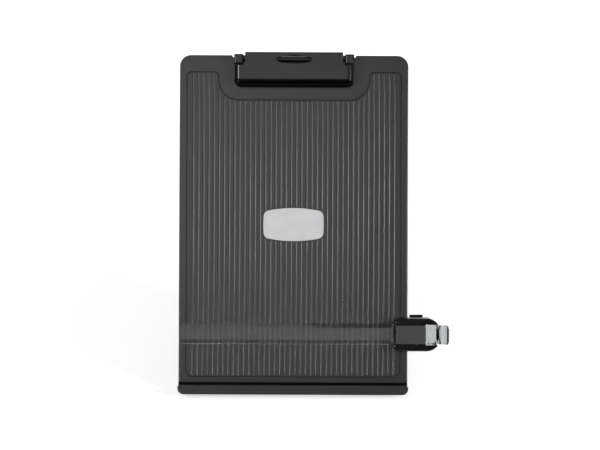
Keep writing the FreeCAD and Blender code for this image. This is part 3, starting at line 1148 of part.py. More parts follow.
open_turn = math.radians(s.leg_angle)
leg_rise = tilt.multVec(vec(0, s.leg_pivot, s.leg_pivot_in) - strip_middle).z
behind = math.radians(s.leg_angle - s.lean_angle)
leg_reach = leg_rise / math.cos(behind)
wall_back = s.board_depth - s.face_wall - s.leg_pivot_in - s.stop_gap
leg_heel = (wall_back - s.leg_thick / 2 * math.cos(open_turn)) / math.sin(open_turn)
leg_end = -(leg_reach - s.foot_length)


def leg_half_at(y):
    """Half width of the tapering leg at a place along it."""
    return s.leg_half_top + (s.leg_half_low - s.leg_half_top) * (leg_heel - y) / (leg_heel + leg_reach)


leg = new_body("easel_leg")
leg_plan = sketch_on(leg, "plan", "XY_Plane")
low_half = leg_half_at(leg_end)
loop(leg_plan, [(-low_half, leg_end, 0), (low_half, leg_end, 0), (s.leg_half_top, leg_heel, 0),
                (-s.leg_half_top, leg_heel, 0)])
pad(leg, leg_plan, "Sizes.leg_thick", both=True)
leg_cells = sketch_on(leg, "cells", "XY_Plane", "-Sizes.leg_thick / 2")
cell_top = leg_heel - s.leg_head
cell_low = leg_end + s.foot_tongue + s.leg_wall + s.tongue_margin
count = int(s.leg_cells)
cell_step = (cell_top - cell_low + s.leg_wall) / count
for index in range(count):
    low = cell_low + index * cell_step
    high = low + cell_step - s.leg_wall
    low_side, high_side = leg_half_at(low) - s.leg_wall, leg_half_at(high) - s.leg_wall
    cell = [(-low_side, low), (low_side, low), (high_side, high), (-high_side, high)]
    loop(leg_cells, [(x, y, s.leg_cell_corner) for x, y in cell])
pocket(leg, leg_cells, "Sizes.leg_thick - Sizes.leg_web", reverse=True)
leg_bore = sketch_on(leg, "pin_hole", "YZ_Plane")
circle(leg_bore, "0", "0", "Sizes.leg_pin_radius + Sizes.pivot_fit")
pocket(leg, leg_bore, "2 * Sizes.leg_half_top + 2", both=True)
tongue_slot = sketch_on(leg, "tongue_slot", "YZ_Plane")
slot_half = s.foot_tongue_thick / 2
loop(tongue_slot, [(leg_end - 1, -slot_half, 0), (leg_end + s.foot_tongue, -slot_half, 0),
                   (leg_end + s.foot_tongue, slot_half, 0), (leg_end - 1, slot_half, 0)])
pocket(leg, tongue_slot, "2 * Sizes.foot_tongue_half", both=True)

foot = new_body("leg_foot")
sole = sketch_on(foot, "sole", "YZ_Plane")
half_thick = s.leg_thick / 2
skew = half_thick * math.tan(behind)
loop(sole, [(leg_end, -half_thick, 0), (-leg_reach - skew, -half_thick, 0),
            (-leg_reach + skew, half_thick, 0), (leg_end, half_thick, 0)])
pad(foot, sole, f"2 * {leg_half_at(-leg_reach):.3f}", both=True)
tongue = sketch_on(foot, "tongue", "YZ_Plane")
tongue_half, tongue_end = slot_half - s.touch_gap, leg_end + s.foot_tongue - s.tongue_play
loop(tongue, [(leg_end - 1, -tongue_half, 0), (tongue_end, -tongue_half, 0),
              (tongue_end, tongue_half, 0), (leg_end - 1, tongue_half, 0)])
pad(foot, tongue, "2 * (Sizes.foot_tongue_half - Sizes.tongue_play)", both=True)


# Placements: everything leans with the board, and the leg also swings out to its stop

leg_pose = FreeCAD.Placement(vec(0, s.leg_pivot, s.leg_pivot_in), FreeCAD.Rotation(X_AXIS, s.leg_angle))
for label, piece in pieces.items():
    piece.Placement = stand * leg_pose if label in ("easel_leg", "leg_foot") else stand
doc.recompute()

for item in doc.Objects:
    if "Invalid" in item.State or "Error" in item.State:
        raise ValueError(f"{item.Name}: {item.State}")
for label, piece in pieces.items():
    if piece.Shape.isNull() or not piece.Shape.isValid():
        raise ValueError(f"{label} has no valid shape")

os.makedirs("parts", exist_ok=True)
for label, piece in pieces.items():
    piece.Shape.exportStep(f"parts/{label}.step")
    print(f"{label}: {len(piece.Shape.Solids)} solids, {piece.Shape.Volume / 1000:.2f} cm3")
pivot = stand.multVec(vec(0, s.leg_pivot, s.leg_pivot_in))
print(f"leg pivot {pivot}, leg reach {leg_reach:.2f}, heel {leg_heel:.2f}")
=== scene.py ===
import math

import bmesh
import bpy
from mathutils import Matrix, Vector


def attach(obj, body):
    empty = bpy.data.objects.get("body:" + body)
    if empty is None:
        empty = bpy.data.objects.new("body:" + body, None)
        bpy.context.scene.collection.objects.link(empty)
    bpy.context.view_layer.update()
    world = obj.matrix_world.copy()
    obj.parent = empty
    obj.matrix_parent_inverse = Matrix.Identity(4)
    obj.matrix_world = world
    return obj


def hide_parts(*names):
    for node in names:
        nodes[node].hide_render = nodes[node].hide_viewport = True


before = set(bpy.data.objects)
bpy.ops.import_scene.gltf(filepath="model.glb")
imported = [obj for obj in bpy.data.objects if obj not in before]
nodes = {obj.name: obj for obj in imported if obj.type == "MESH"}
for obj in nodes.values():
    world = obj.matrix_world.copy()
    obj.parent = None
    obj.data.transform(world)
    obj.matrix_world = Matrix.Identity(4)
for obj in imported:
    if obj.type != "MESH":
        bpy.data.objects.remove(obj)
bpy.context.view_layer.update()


# Camera: square on to the face of the leaning board, 1.2 m in front of its middle.

CAMERA_AT = (0.0055, -1.0798, 0.5578)
CAMERA_LEFT, CAMERA_DOWN, CAMERA_ROLL = -0.04, 19.65, 0.26
LENS_MM, SENSOR_MM = 74.2, 36.0
NEAREST, FARTHEST = 0.02, 30.0


def add_object(name, data):
    """A new object in the scene."""
    made = bpy.data.objects.new(name, data)
    bpy.context.scene.collection.objects.link(made)
    return made


lens = bpy.data.cameras.new("camera")
lens.lens, lens.sensor_width = LENS_MM, SENSOR_MM
lens.clip_start, lens.clip_end = NEAREST, FARTHEST
camera = add_object("camera", lens)
camera.matrix_world = (
    Matrix.Translation(CAMERA_AT)
    @ Matrix.Rotation(math.radians(CAMERA_LEFT), 4, "Z")
    @ Matrix.Rotation(math.radians(90.0 - CAMERA_DOWN), 4, "X")
    @ Matrix.Rotation(math.radians(CAMERA_ROLL), 4, "Z"))
bpy.context.scene.camera = camera


# Board: one satin black moulding with a fine sparked grain, forty low round beads on its
# face and ribs behind it. It leans back 20 degrees, and its edges are rubbed a little paler.

LEAN = 20.0
BOARD_ORIGIN = (0.0, 0.00303775, -0.002325737)
ON_BOARD = (Matrix.Translation(BOARD_ORIGIN)
            @ Matrix.Rotation(math.radians(90.0 - LEAN), 4, "X") @ Matrix.Scale(0.001, 4))
UP_BOARD = (0.0, math.sin(math.radians(LEAN)), math.cos(math.radians(LEAN)))
OUT_OF_BOARD = (0.0, -UP_BOARD[2], UP_BOARD[1])

FLOW_MARK, CLOUD, DUST_SPECK, WORN_EDGE = 0.07, 0.009, 0.0011, 0.0002
DUST_ABOVE = 0.73
PLASTIC_IOR = 1.49
# The near blacks and faint sheen of painted shade: a matt coat that stands in for shade in lips
# and troughs.
PAINTED_SHADE_BLACK, PAINTED_SHADE_PALE, PAINTED_SHADE_SHEEN = 0.0008, 0.0016, 0.06


class Wire:
    """A socket in a node tree, so that node maths reads as plain arithmetic."""

    def __init__(self, tree, socket=None):
        self.tree, self.socket = tree, socket

    def node(self, kind, settings=(), values=(), output=0):
        """Add a node: its settings first, then the values or links of its sockets."""
        made = self.tree.nodes.new(kind)
        for name, value in dict(settings).items():
            setattr(made, name, value)
        for key, value in dict(values).items():
            if isinstance(value, Wire):
                self.tree.links.new(value.socket, made.inputs[key])
            else:
                made.inputs[key].default_value = value
        return Wire(self.tree, made.outputs[output] if made.outputs else None)

    def other(self, output):
        """Another output of the node that this wire leaves."""
        return Wire(self.tree, self.socket.node.outputs[output])

    def math(self, operation, *values):
        return self.node("ShaderNodeMath", {"operation": operation}, enumerate(values))

    def __add__(self, other):
        return self.math("ADD", self, other)

    __radd__ = __add__

    def __sub__(self, other):
        return self.math("SUBTRACT", self, other)

    def __rsub__(self, other):
        return self.math("SUBTRACT", other, self)

    def __mul__(self, other):
        return self.math("MULTIPLY", self, other)

    __rmul__ = __mul__

    def clamp(self, low=0.0, high=1.0):
        return self.node("ShaderNodeClamp", (), {0: self, 1: low, 2: high})

    def dot(self, first, second):
        """The dot product of two vectors."""
        return self.node("ShaderNodeVectorMath", {"operation": "DOT_PRODUCT"},
                         {0: first, 1: second}, "Value")

    def noise(self, place, size, detail=2.0, rough=0.5):
        """Noise whose blotches are about `size` metres across."""
        return self.node("ShaderNodeTexNoise", (), {
            "Vector": place, "Scale": 1.0 / size, "Detail": detail, "Roughness": rough})

    def blend(self, share, first, second):
        """A mix of two colours by a share."""
        return self.node("ShaderNodeMix", {"data_type": "RGBA"},
                         {0: share, 6: first, 7: second}, 2)

    def bump(self, height, distance, strength=1.0, normal=None):
        """A normal roughened by a height that rises `distance` metres."""
        values = {"Strength": strength, "Distance": distance, "Height": height}
        if normal:
            values["Normal"] = normal
        return self.node("ShaderNodeBump", (), values)

    def principled(self, values):
        return self.node("ShaderNodeBsdfPrincipled", (), values)

    def mix_shaders(self, share, first, second):
        return self.node("ShaderNodeMixShader", (), {0: share, 1: first, 2: second})

    def surface(self, shader):
        """Let a shader be what the material shows."""
        self.node("ShaderNodeOutputMaterial", (), {"Surface": shader})


def new_material(name):
    """An empty material, a wire in it, and the place on the object in metres."""
    made = bpy.data.materials.new(name)
    made.use_nodes = True
    made.node_tree.nodes.clear()
    wire = Wire(made.node_tree)
    return made, wire, wire.node("ShaderNodeTexCoord", output="Object")


def black(level):
    """A black of a level, a trace blue."""
    return (level, level, level * 1.02, 1.0)


def moulded(name, level, roughness, grain, depth, sheen=0.5, rub=0.3, painted_shade_share=None):
    """A plastic moulding: sparked grain, faint flow marks, dust and rubbed edges.

    `level` is its tone, `grain` and `depth` are the grain's width and depth in metres, and the
    last argument gives the share of the skin at a place painted near black and matt, as shade."""
    made, wire, place = new_material(name)
    flow = wire.noise(place, FLOW_MARK, 4.0, 0.6)
    cloud = wire.noise(place, CLOUD, 3.0, 0.55)
    pits = wire.noise(place, grain, 1.5, 0.5)
    # Dust is the highest specks of a fine noise, up to about half cover.
    dust = (wire.noise(place, DUST_SPECK, 0.0) - DUST_ABOVE).clamp(0.0, 0.06) * 9.0
    # An edge is where the rounded normal turns away from the face's own.
    rounded = wire.node("ShaderNodeBevel", {"samples": 4}, {"Radius": WORN_EDGE})
    turn = 1.0 - wire.dot(rounded, wire.node("ShaderNodeNewGeometry", output="Normal"))
    worn = (turn * 3.0 * cloud * rub).clamp()
    # Flow marks shade the black by a sixth, and dust and worn edges are paler.
    tone = wire.blend(flow, black(level * 0.84), black(level * 1.16))
    tone = wire.blend((worn + dust * 0.25).clamp(), tone, black(level * 2.5 + 0.025))
    gloss = (roughness - 0.07 + flow * 0.07 + cloud * 0.07 + dust * 0.2).clamp(0.05, 1.0)
    relief = wire.bump(pits, depth, normal=rounded)
    shader = wire.principled({"Base Color": tone, "Roughness": gloss, "Normal": relief,
                              "IOR": PLASTIC_IOR, "Specular IOR Level": sheen})
    # Painted shade: where the mask says, a near-black matt coat takes the place of the plastic.
    if painted_shade_share:
        painted_shade_coat = wire.principled({
            "Base Color": wire.blend(flow, black(PAINTED_SHADE_BLACK), black(PAINTED_SHADE_PALE)),
            "Roughness": gloss, "Normal": relief, "IOR": PLASTIC_IOR,
            "Specular IOR Level": PAINTED_SHADE_SHEEN})
        shader = wire.mix_shaders(painted_shade_share(wire, place), shader, painted_shade_coat)
    wire.surface(shader)
    return made


def dress(node, material):
    """Give a CAD node its finish."""
    for slot in nodes[node].material_slots:
        slot.material = material


board_plastic = moulded("board_plastic", level=0.012, roughness=0.3, grain=0.00035,
                        depth=0.000015, sheen=0.68)
dress("board_shell", board_plastic)


# Badge: a bare plate of matt silver sheet, pressed to a thin raised rim, on a foam pad
# in its recess.

BRUSH_STROKES = (40.0, 1400.0, 1400.0)
SILVER_DARK, SILVER_PALE = (0.5, 0.5, 0.51, 1.0), (0.62, 0.62, 0.63, 1.0)
FOAM_DARK, FOAM_PALE = (0.6, 0.58, 0.52, 1.0), (0.8, 0.78, 0.72, 1.0)


def matt_silver():
    """Silver sheet, brushed across and a little cloudy. The strokes are counted per metre."""
    made, wire, place = new_material("badge_metal")
    stretched = wire.node("ShaderNodeMapping", (), {"Vector": place, "Scale": BRUSH_STROKES})
    brushing = wire.noise(stretched, 1.0, 3.0)
    clouding = wire.noise(place, 0.012, 3.0)
    wire.surface(wire.principled({
        "Base Color": wire.blend(clouding, SILVER_DARK, SILVER_PALE), "Metallic": 0.3,
        "Roughness": clouding * 0.1 + 0.48, "Normal": wire.bump(brushing, 0.00002, 0.4)}))
    return made


def foam():
    """A thin pad of pale closed cells."""
    made, wire, place = new_material("foam_tape")
    cells = wire.noise(place, 0.0004, 2.0)
    wire.surface(wire.principled({
        "Base Color": wire.blend(cells, FOAM_DARK, FOAM_PALE), "Roughness": 0.9}))
    return made


dress("badge_plate", matt_silver())
dress("badge_tape", foam())


# Paper ledge: a black trough along the bottom edge, with painted shade in its inside, its stakes
# melted over into domes behind the face. The rubber strip under the board keeps it from sliding.

TROUGH_FRONT = 0.0125
TROUGH_FADE = 2000.0
STAKE_EVERY, STAKE_HEIGHT = 46.0, 8.9
STAKE_DOME = [(0.0, 5.55), (0.9, 5.62), (1.7, 5.85), (2.2, 6.2), (2.36, 6.45), (0.0, 6.45)]


def along_board(wire, place, direction):
    """Metres from the board's own origin to a place at rest, along a direction."""
    return wire.dot(place, direction) - Vector(BOARD_ORIGIN).dot(direction)


def trough(wire, place):
    """Painted shade: the trough's inside, up to 12 mm in front of the board's back, goes near
    black.
    """
    return ((TROUGH_FRONT - along_board(wire, place, OUT_OF_BOARD)) * TROUGH_FADE).clamp()


def closed_mesh(name, work, crease):
    """A closed bmesh as a smooth mesh, with edges that turn more than `crease` degrees sharp."""
    bmesh.ops.recalc_face_normals(work, faces=work.faces)
    mesh = bpy.data.meshes.new(name)
    work.to_mesh(mesh)
    work.free()
    mesh.shade_smooth()
    mesh.set_sharp_from_angle(angle=math.radians(crease))
    return mesh


def lathe(profile, steps):
    """A closed solid of revolution from (radius, height) points, in millimetres."""
    work = bmesh.new()
    turns = [2.0 * math.pi * step / steps for step in range(steps)]
    rings = []
    for radius, height in profile:
        if radius < 1e-6:
            rings.append([work.verts.new((0.0, 0.0, height))])
            continue
        rings.append([work.verts.new((radius * math.cos(a), radius * math.sin(a), height))
                      for a in turns])
    for low, high in zip(rings, rings[1:]):
        for step in range(steps):
            following = (step + 1) % steps
            if len(low) == 1:
                work.faces.new((low[0], high[step], high[following]))
            elif len(high) == 1:
                work.faces.new((low[step], high[0], low[following]))
            else:
                work.faces.new((low[step], high[step], high[following], low[following]))
    return closed_mesh("turned", work, 40.0)


def plain_mesh(made):
    """An object's mesh with its modifiers applied; the object is removed."""
    evaluated = made.evaluated_get(bpy.context.evaluated_depsgraph_get())
    mesh = bpy.data.meshes.new_from_object(evaluated)
    bpy.data.objects.remove(made)
    return mesh


def repeat(name, unit, spots, material):
    """Geometry nodes set a unit mesh on each spot; the result comes back as a plain mesh."""
    unit_object = add_object(name + "_unit", unit)
    marks = bpy.data.meshes.new(name + "_marks")
    marks.from_pydata(spots, [], [])
    host = add_object(name + "_host", marks)
    tree = bpy.data.node_groups.new(name, "GeometryNodeTree")
    tree.interface.new_socket("Spots", in_out="INPUT", socket_type="NodeSocketGeometry")
    unit_socket = tree.interface.new_socket("Unit", in_out="INPUT", socket_type="NodeSocketObject")
    size_socket = tree.interface.new_socket("Size", in_out="INPUT", socket_type="NodeSocketFloat")
    tree.interface.new_socket("Geometry", in_out="OUTPUT", socket_type="NodeSocketGeometry")
    wire = Wire(tree)
    given = wire.node("NodeGroupInput")
    source = wire.node("GeometryNodeObjectInfo", (), {"Object": given.other("Unit")}, "Geometry")
    placed = wire.node("GeometryNodeInstanceOnPoints", (), {
        "Points": given.other("Spots"), "Instance": source, "Scale": given.other("Size")})
    whole = wire.node("GeometryNodeRealizeInstances", (), {0: placed})
    finished = wire.node("GeometryNodeSetMaterial", (), {"Geometry": whole, "Material": material})
    wire.node("NodeGroupOutput", (), {"Geometry": finished})
    grower = host.modifiers.new(name, "NODES")
    grower.node_group = tree
    grower[unit_socket.identifier] = unit_object
    grower[size_socket.identifier] = 1.0
    mesh = plain_mesh(host)
    bpy.data.objects.remove(unit_object)
    return mesh


def mesh_piece(name, mesh, body, material, stands_for=()):
    """A finished mesh in board millimetres becomes a piece that rides on a body."""
    mesh.name = name
    mesh.transform(ON_BOARD)
    mesh.materials.clear()
    mesh.materials.append(material)
    piece = add_object(name, mesh)
    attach(piece, body)
    if stands_for:
        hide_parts(*stands_for)


# The trough's inside is painted near black as shade.
ledge_plastic = moulded("ledge_plastic", level=0.012, roughness=0.3, grain=0.00035,
                        depth=0.000015, sheen=0.55, painted_shade_share=trough)
dress("paper_ledge", ledge_plastic)

domes = repeat("stake_domes", lathe(STAKE_DOME, 24),
               [(STAKE_EVERY * step, STAKE_HEIGHT, 0.0) for step in range(-2, 3)], board_plastic)
mesh_piece("stake_domes", domes, "board", board_plastic)


def rubber(name, level):
    """Matt rubber with a cloudy bloom and a fine pebbled skin."""
    made, wire, place = new_material(name)
    bloom = wire.noise(place, 0.006, 4.0, 0.65)
    skin = wire.noise(place, 0.0003, 2.0)
    wire.surface(wire.principled({
        "Base Color": wire.blend(bloom, black(level * 0.7), black(level * 1.5)),
        "Roughness": bloom * 0.2 + 0.72, "Normal": wire.bump(skin, 0.00004),
        "Specular IOR Level": 0.35}))
    return made


soft_rubber = rubber("rubber", level=0.022)
dress("edge_strip", soft_rubber)


# Spring clip: a hollow black lever with a rolled lip painted near black as shade, on a base plate
# with two ears that two screws hold from behind. A rubber pad lines the lip. The pin and the two
# wire springs are blackened steel.

LIP_TOP = 0.3042
LIP_FADE = 1200.0
CLIP_SCREW_X, CLIP_SCREW_HEIGHT, CLIP_SCREW_SEAT = 43.0, 309.0, 5.6
THREAD_PITCH, THREAD_START, SCREW_POINT = 1.0, 0.6, 0.6


def lip(wire, place):
    """Painted shade: the rolled lip, the lowest part of the clip, goes near black and matt."""
    return ((LIP_TOP - along_board(wire, place, UP_BOARD)) * LIP_FADE).clamp()


def steely(name, streak, dark, pale, metallic, roughness, uneven):
    """Steel with streaks of a size, in tones from dark to pale."""
    made, wire, place = new_material(name)
    streaks = wire.noise(place, streak, 4.0, 0.6)
    wire.surface(wire.principled({
        "Base Color": wire.blend(streaks, dark, pale), "Metallic": metallic,
        "Roughness": streaks * uneven + roughness}))
    return made


def cross_screw(head, head_high, shank, length):
    """A pan-head screw with a cross recess, head down and thread up, seated at zero.

    `head` and `shank` are radii, in millimetres as the rest."""
    root = shank * 0.86
    profile = [(0.0, -head_high), (head * 0.55, -head_high * 0.97),
               (head * 0.85, -head_high * 0.72), (head, -head_high * 0.35), (head, 0.0),
               (root, 0.0)]
    for turn in range(int(length / THREAD_PITCH) - 1):
        base = THREAD_START + turn * THREAD_PITCH
        profile += [(root, base), (shank, base + 0.35 * THREAD_PITCH),
                    (shank, base + 0.5 * THREAD_PITCH), (root, base + 0.85 * THREAD_PITCH)]
    profile += [(shank * 0.8, length - SCREW_POINT), (0.0, length)]
    body = add_object("screw", lathe(profile, 28))
    work = bmesh.new()
    for turn in (0.0, math.pi / 2.0):
        bar = bmesh.ops.create_cube(work, size=1.0)["verts"]
        shape = (Matrix.Rotation(turn, 4, "Z") @ Matrix.Translation((0, 0, -head_high))
                 @ Matrix.Diagonal((head * 1.15, head * 0.24, head_high * 1.3, 1.0)))
        bmesh.ops.transform(work, matrix=shape, verts=bar)
    cutter_mesh = bpy.data.meshes.new("cutter")
    work.to_mesh(cutter_mesh)
    work.free()
    cutter = add_object("cutter", cutter_mesh)
    cut = body.modifiers.new("cut", "BOOLEAN")
    cut.operation, cut.solver, cut.object, cut.use_self = "DIFFERENCE", "EXACT", cutter, True
    mesh = plain_mesh(body)
    bpy.data.objects.remove(cutter)
    return mesh


# The rolled lip is painted near black as shade.
clip_plastic = moulded("clip_plastic", level=0.004, roughness=0.18, grain=0.0003,
                       depth=0.000006, sheen=0.54, painted_shade_share=lip)
steel = steely("steel", 0.0016, (0.42, 0.42, 0.43, 1.0), (0.66, 0.65, 0.64, 1.0),
               metallic=1.0, roughness=0.2, uneven=0.25)
black_steel = steely("black_steel", 0.0012, (0.012, 0.012, 0.013, 1.0),
                     (0.04, 0.039, 0.038, 1.0), metallic=0.9, roughness=0.3, uneven=0.2)
dress("clip_jaw", clip_plastic)
dress("clip_base", clip_plastic)
dress("grip_pad", soft_rubber)
dress("clip_pin", black_steel)
dress("clip_springs", black_steel)

clip_screw = cross_screw(head=2.6, head_high=1.8, shank=1.25, length=9.0)
screws = repeat("clip_cross_screws", clip_screw,
                [(x, CLIP_SCREW_HEIGHT, CLIP_SCREW_SEAT) for x in (-CLIP_SCREW_X, CLIP_SCREW_X)],
                steel)
mesh_piece("clip_cross_screws", screws, "board", steel, ["clip_screws"])


# Carriage: a glossy black housing over the right edge, with a thin round rim under the
# finger tab and a hooked back cover held by two screws. A bowed steel leaf inside it rubs
# on the board's edge.

GUIDE_MIDDLE = 58.2
COVER_SCREW_X, COVER_SCREW_SIDE, COVER_SCREW_SEAT = 117.0, 12.2, -1.75
RIM_RADIUS, RIM_HEIGHT = 1.6, 5.3
RIM_STEPS, BEND_STEPS = 5, 6
RIM_TIP = (141.9, 0.0)
RIM_SIDE = [(135.5, 11.2), (139.0, 9.8), (141.3, 5.5)]


def rim_bar():
    """The rim: a round bar bent round the housing's open end, from (x, across) points."""
    rail = bpy.data.curves.new("carriage_rim", "CURVE")
    rail.dimensions, rail.use_fill_caps = "3D", True
    rail.bevel_depth, rail.bevel_resolution = RIM_RADIUS, RIM_STEPS
    bend = RIM_SIDE + [RIM_TIP] + [(x, -across) for x, across in reversed(RIM_SIDE)]
    arc = rail.splines.new("NURBS")
    arc.points.add(len(bend) - 1)
    for point, (x, across) in zip(arc.points, bend):
        point.co = (x, GUIDE_MIDDLE + across, RIM_HEIGHT, 1.0)
    arc.order_u, arc.use_endpoint_u, arc.resolution_u = 3, True, BEND_STEPS
    return plain_mesh(add_object("carriage_rim_curve", rail))


carriage_plastic = moulded("carriage_plastic", level=0.001, roughness=0.2, grain=0.0006,
                           depth=0.000006, sheen=0.26)
dress("carriage_housing", carriage_plastic)
dress("carriage_back", carriage_plastic)
dress("friction_leaf", steel)

cover_screw = cross_screw(head=2.1, head_high=1.25, shank=1.1, length=9.0)
screws = repeat("carriage_cross_screws", cover_screw,
                [(COVER_SCREW_X, GUIDE_MIDDLE + across, COVER_SCREW_SEAT)
                 for across in (-COVER_SCREW_SIDE, COVER_SCREW_SIDE)], steel)
mesh_piece("carriage_cross_screws", screws, "guide_carriage", steel,
           ["carriage_screws"])
mesh_piece("carriage_rim", rim_bar(), "guide_carriage", carriage_plastic)


# Line guide: one blade of clear plastic. It runs across the board as a bevelled ruler, steps
# up through the carriage and ends in a curled finger tab; the grey cap rocks on its pin.

BLADE_THICK, EDGE_BREAK, STATION_STEP = 2.2, 0.2, 1.0
RULER_START, RULER_END, NECK_END = -108.7, 95.2, 128.6
START_ROUND, TAB_ROUND = 1.0, 3.0
RULER, NECK, TAB = (10.0, 4.2, 0.9), (7.0, 0.3, 0.3), (9.2, 0.3, 0.3)
BLADE_LINE = [(RULER_START, 11.9, 0), (97.2, 11.9, 4), (104.4, 18.9, 4), (129.6, 18.9, 2.5),
              (132.6, 14.4, 2.5), (138.8, 13.6, 1.6), (141.8, 19.2, 1.6), (145.4, 19.6, 2.5),
              (148.2, 26.4, 0)]
CLEAR_TINT, CLEAR_SHADOW = (0.52, 0.53, 0.54, 1.0), (0.86, 0.87, 0.87, 1.0)


def clear_acrylic():
    """Clear plastic with faint scuffs and ripples. Its shadow is no darker than a tint."""
    made, wire, place = new_material("clear_plastic")
    scuffs = wire.noise(place, 0.004, 5.0, 0.7)
    ripple = wire.noise(place, 0.02, 1.0)
    solid = wire.principled({
        "Base Color": CLEAR_TINT, "Roughness": (scuffs - 0.45).clamp() * 0.3 + 0.03,
        "IOR": PLASTIC_IOR, "Transmission Weight": 1.0,
        "Normal": wire.bump(ripple, 0.0001, 0.5), "Specular IOR Level": 0.35})
    through = wire.node("ShaderNodeBsdfTransparent", (), {"Color": CLEAR_SHADOW})
    shadow = wire.node("ShaderNodeLightPath", output="Is Shadow Ray")
    wire.surface(wire.mix_shaders(shadow, solid, through))
    return made


def rounded_path(points, steps=12):
    """Points along a line with round corners, from (x, z, radius) corners."""
    path = []
    for index, (x, z, radius) in enumerate(points):
        corner = Vector((x, z))
        if not radius:
            path.append(corner)
            continue
        before = (Vector(points[index - 1][:2]) - corner).normalized()
        after = (Vector(points[index + 1][:2]) - corner).normalized()
        half = before.angle(after) / 2.0
        centre = corner + (before + after).normalized() * (radius / math.sin(half))
        start = corner + before * (radius / math.tan(half)) - centre
        end = corner + after * (radius / math.tan(half)) - centre
        sweep = start.angle_signed(end)
        for step in range(steps + 1):
            path.append(centre + Matrix.Rotation(-sweep * step / steps, 2) @ start)
    return path


def blade_section(half, bevel, drop):
    """The blade's outline as (across, rise) points: its top edges are bevelled."""
    top = BLADE_THICK / 2.0
    return [(-half, -top + EDGE_BREAK), (-half + EDGE_BREAK, -top),
            (half - EDGE_BREAK, -top), (half, -top + EDGE_BREAK),
            (half, top - drop), (half - bevel, top), (-half + bevel, top), (-half, top - drop)]


def blade():
    """The clear guide, lofted along its bent line through its three widths."""
    line = rounded_path(BLADE_LINE)
    stations = []
    for first, second in zip(line, line[1:]):
        pieces = max(1, int((second - first).length / STATION_STEP))
        stations += [first.lerp(second, step / pieces) for step in range(pieces)]
    stations.append(line[-1])
    last = len(stations) - 1
    work = bmesh.new()
    rings = []
    for index, spot in enumerate(stations):
        along = (stations[min(index + 1, last)] - stations[max(index - 1, 0)]).normalized()
        out = Vector((-along.y, along.x))
        if spot.x < RULER_END:
            half, bevel, drop = RULER
        elif spot.x < NECK_END:
            half, bevel, drop = NECK
        else:
            half, bevel, drop = TAB
        for gap, radius in ((abs(spot.x - RULER_START), START_ROUND),
                            ((stations[-1] - spot).length, TAB_ROUND)):
            if gap < radius:
                half -= radius - math.sqrt(max(radius ** 2 - (radius - gap) ** 2, 0.0))
        ring = []
        for across, rise in blade_section(half, bevel, drop):
            corner = spot + out * rise
            ring.append(work.verts.new((corner.x, GUIDE_MIDDLE + across, corner.y)))
        rings.append(ring)
    for one, two in zip(rings, rings[1:]):
        for index in range(len(one)):
            following = (index + 1) % len(one)
            work.faces.new((one[index], one[following], two[following], two[index]))
    work.faces.new(rings[0])
    work.faces.new(rings[-1])
    return closed_mesh("blade", work, 12.0)


mesh_piece("clear_blade", blade(), "line_guide", clear_acrylic(),
           ["line_ruler"])
cap_plastic = moulded("cap_plastic", level=0.026, roughness=0.55, grain=0.0004,
                      depth=0.00004, rub=0.15)
dress("rocker_cap", cap_plastic)
dress("guide_pin", steel)
dress("guide_spring", steel)


# Easel leg: a tapering black moulding with four open cells, hinged behind the board on a
# steel pin, with a rubber foot.

dress("easel_leg", board_plastic)
dress("leg_pin", steel)
dress("leg_foot", soft_rubber)


# Studio: a pale floor that starts just in front of the object and a white wall behind it. A
# broad lamp stands in front, a small one high on the left and a narrow one on each side.

FLOOR_FRONT, FLOOR_FAR, FLOOR_LEVEL = -0.13, 8, -0.0004
FLOOR_GREY = (0.8, 0.8, 0.8, 1.0)
GLOW_NEAR, GLOW_MORE = 0.57, 0.42
WALL_EDGE, CEILING_EDGE = 3.0, 2.0
CEILING, DARK_SIDE = 0.3, 0.02
INDIRECT_SHARE = 0.5
WHITE = (1.0, 1.0, 1.0, 1.0)
LAMP_AIM = (0.0, 0.06, 0.155)


def seen_directly(ray):
    """One for rays that show the background: camera, glossy and transmission rays."""
    seen = ray.other("Is Camera Ray") + ray.other("Is Glossy Ray")
    return (seen + ray.other("Is Transmission Ray")).clamp()


def pale_floor():
    """Pale grey that takes shadows, with a glow that grows to white away from the object."""
    made, wire, place = new_material("floor")
    ray = wire.node("ShaderNodeLightPath")
    away = wire.node("ShaderNodeVectorMath", {"operation": "LENGTH"}, {0: place}, "Value")
    away = (away * 0.8 - 0.1).clamp()
    glow = wire.node("ShaderNodeEmission", (), {
        "Color": WHITE, "Strength": seen_directly(ray) * (away * GLOW_MORE + GLOW_NEAR)})
    grey = wire.node("ShaderNodeBsdfDiffuse", (), {"Color": FLOOR_GREY})
    wire.surface(wire.node("ShaderNodeAddShader", (), {0: grey, 1: glow}))
    return made


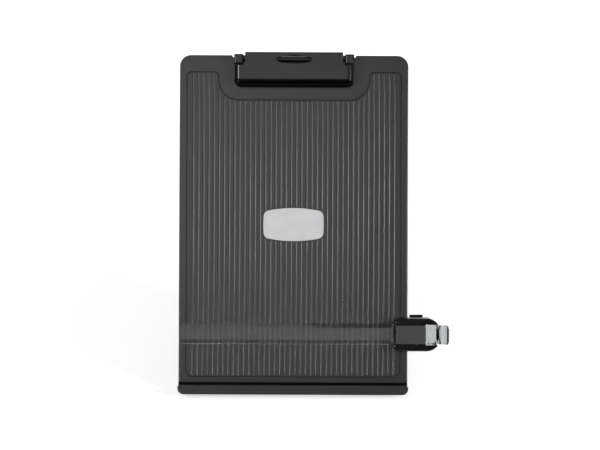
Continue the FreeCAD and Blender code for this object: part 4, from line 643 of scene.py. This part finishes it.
def studio_room():
    """White to the camera; otherwise a white wall behind, a dim ceiling and dark sides."""
    made = bpy.data.worlds.new("studio")
    made.use_nodes = True
    made.node_tree.nodes.clear()
    wire = Wire(made.node_tree)
    toward = wire.node("ShaderNodeTexCoord", output="Generated")
    split = wire.node("ShaderNodeSeparateXYZ", (), {0: toward})
    wall = (split.other("Y") * WALL_EDGE - 0.2).clamp()
    high = (split.other("Z") * CEILING_EDGE - 0.2).clamp()
    room = wall + (1.0 - wall) * (high * CEILING + DARK_SIDE)
    ray = wire.node("ShaderNodeLightPath")
    straight = ray.other("Is Camera Ray")
    level = room * (seen_directly(ray) * (1.0 - INDIRECT_SHARE) + INDIRECT_SHARE)
    level = level * (1.0 - straight) + straight
    light = wire.node("ShaderNodeBackground", (), {"Color": WHITE, "Strength": level})
    wire.node("ShaderNodeOutputWorld", (), {"Surface": light})
    return made


def lamp(name, place, width, height, power):
    """A rectangular lamp aimed at the middle of the board."""
    data = bpy.data.lights.new(name, "AREA")
    data.shape, data.size, data.size_y, data.energy = "RECTANGLE", width, height, power
    made = add_object(name, data)
    made.location = place
    aim = Vector(LAMP_AIM) - Vector(place)
    made.rotation_euler = aim.to_track_quat("-Z", "Y").to_euler()


ground = bpy.data.meshes.new("floor")
ground.from_pydata([(-FLOOR_FAR, FLOOR_FRONT, FLOOR_LEVEL), (FLOOR_FAR, FLOOR_FRONT, FLOOR_LEVEL),
                    (FLOOR_FAR, FLOOR_FAR, FLOOR_LEVEL), (-FLOOR_FAR, FLOOR_FAR, FLOOR_LEVEL)],
                   [], [(0, 1, 2, 3)])
ground.materials.append(pale_floor())
floor = add_object("floor", ground)

bpy.context.scene.world = studio_room()
lamp("front", (-0.3, -1.281, 0.71), width=1.1, height=0.8, power=2.75)
lamp("window", (-0.86, -0.75, 0.911), width=0.28, height=0.3, power=4.4)
lamp("left", (-0.96, -0.845, 0.04), width=0.15, height=0.35, power=8.6)
lamp("right", (0.94, -0.666, 0.454), width=0.15, height=0.3, power=9.8)
bpy.context.scene.view_settings.view_transform = "Standard"
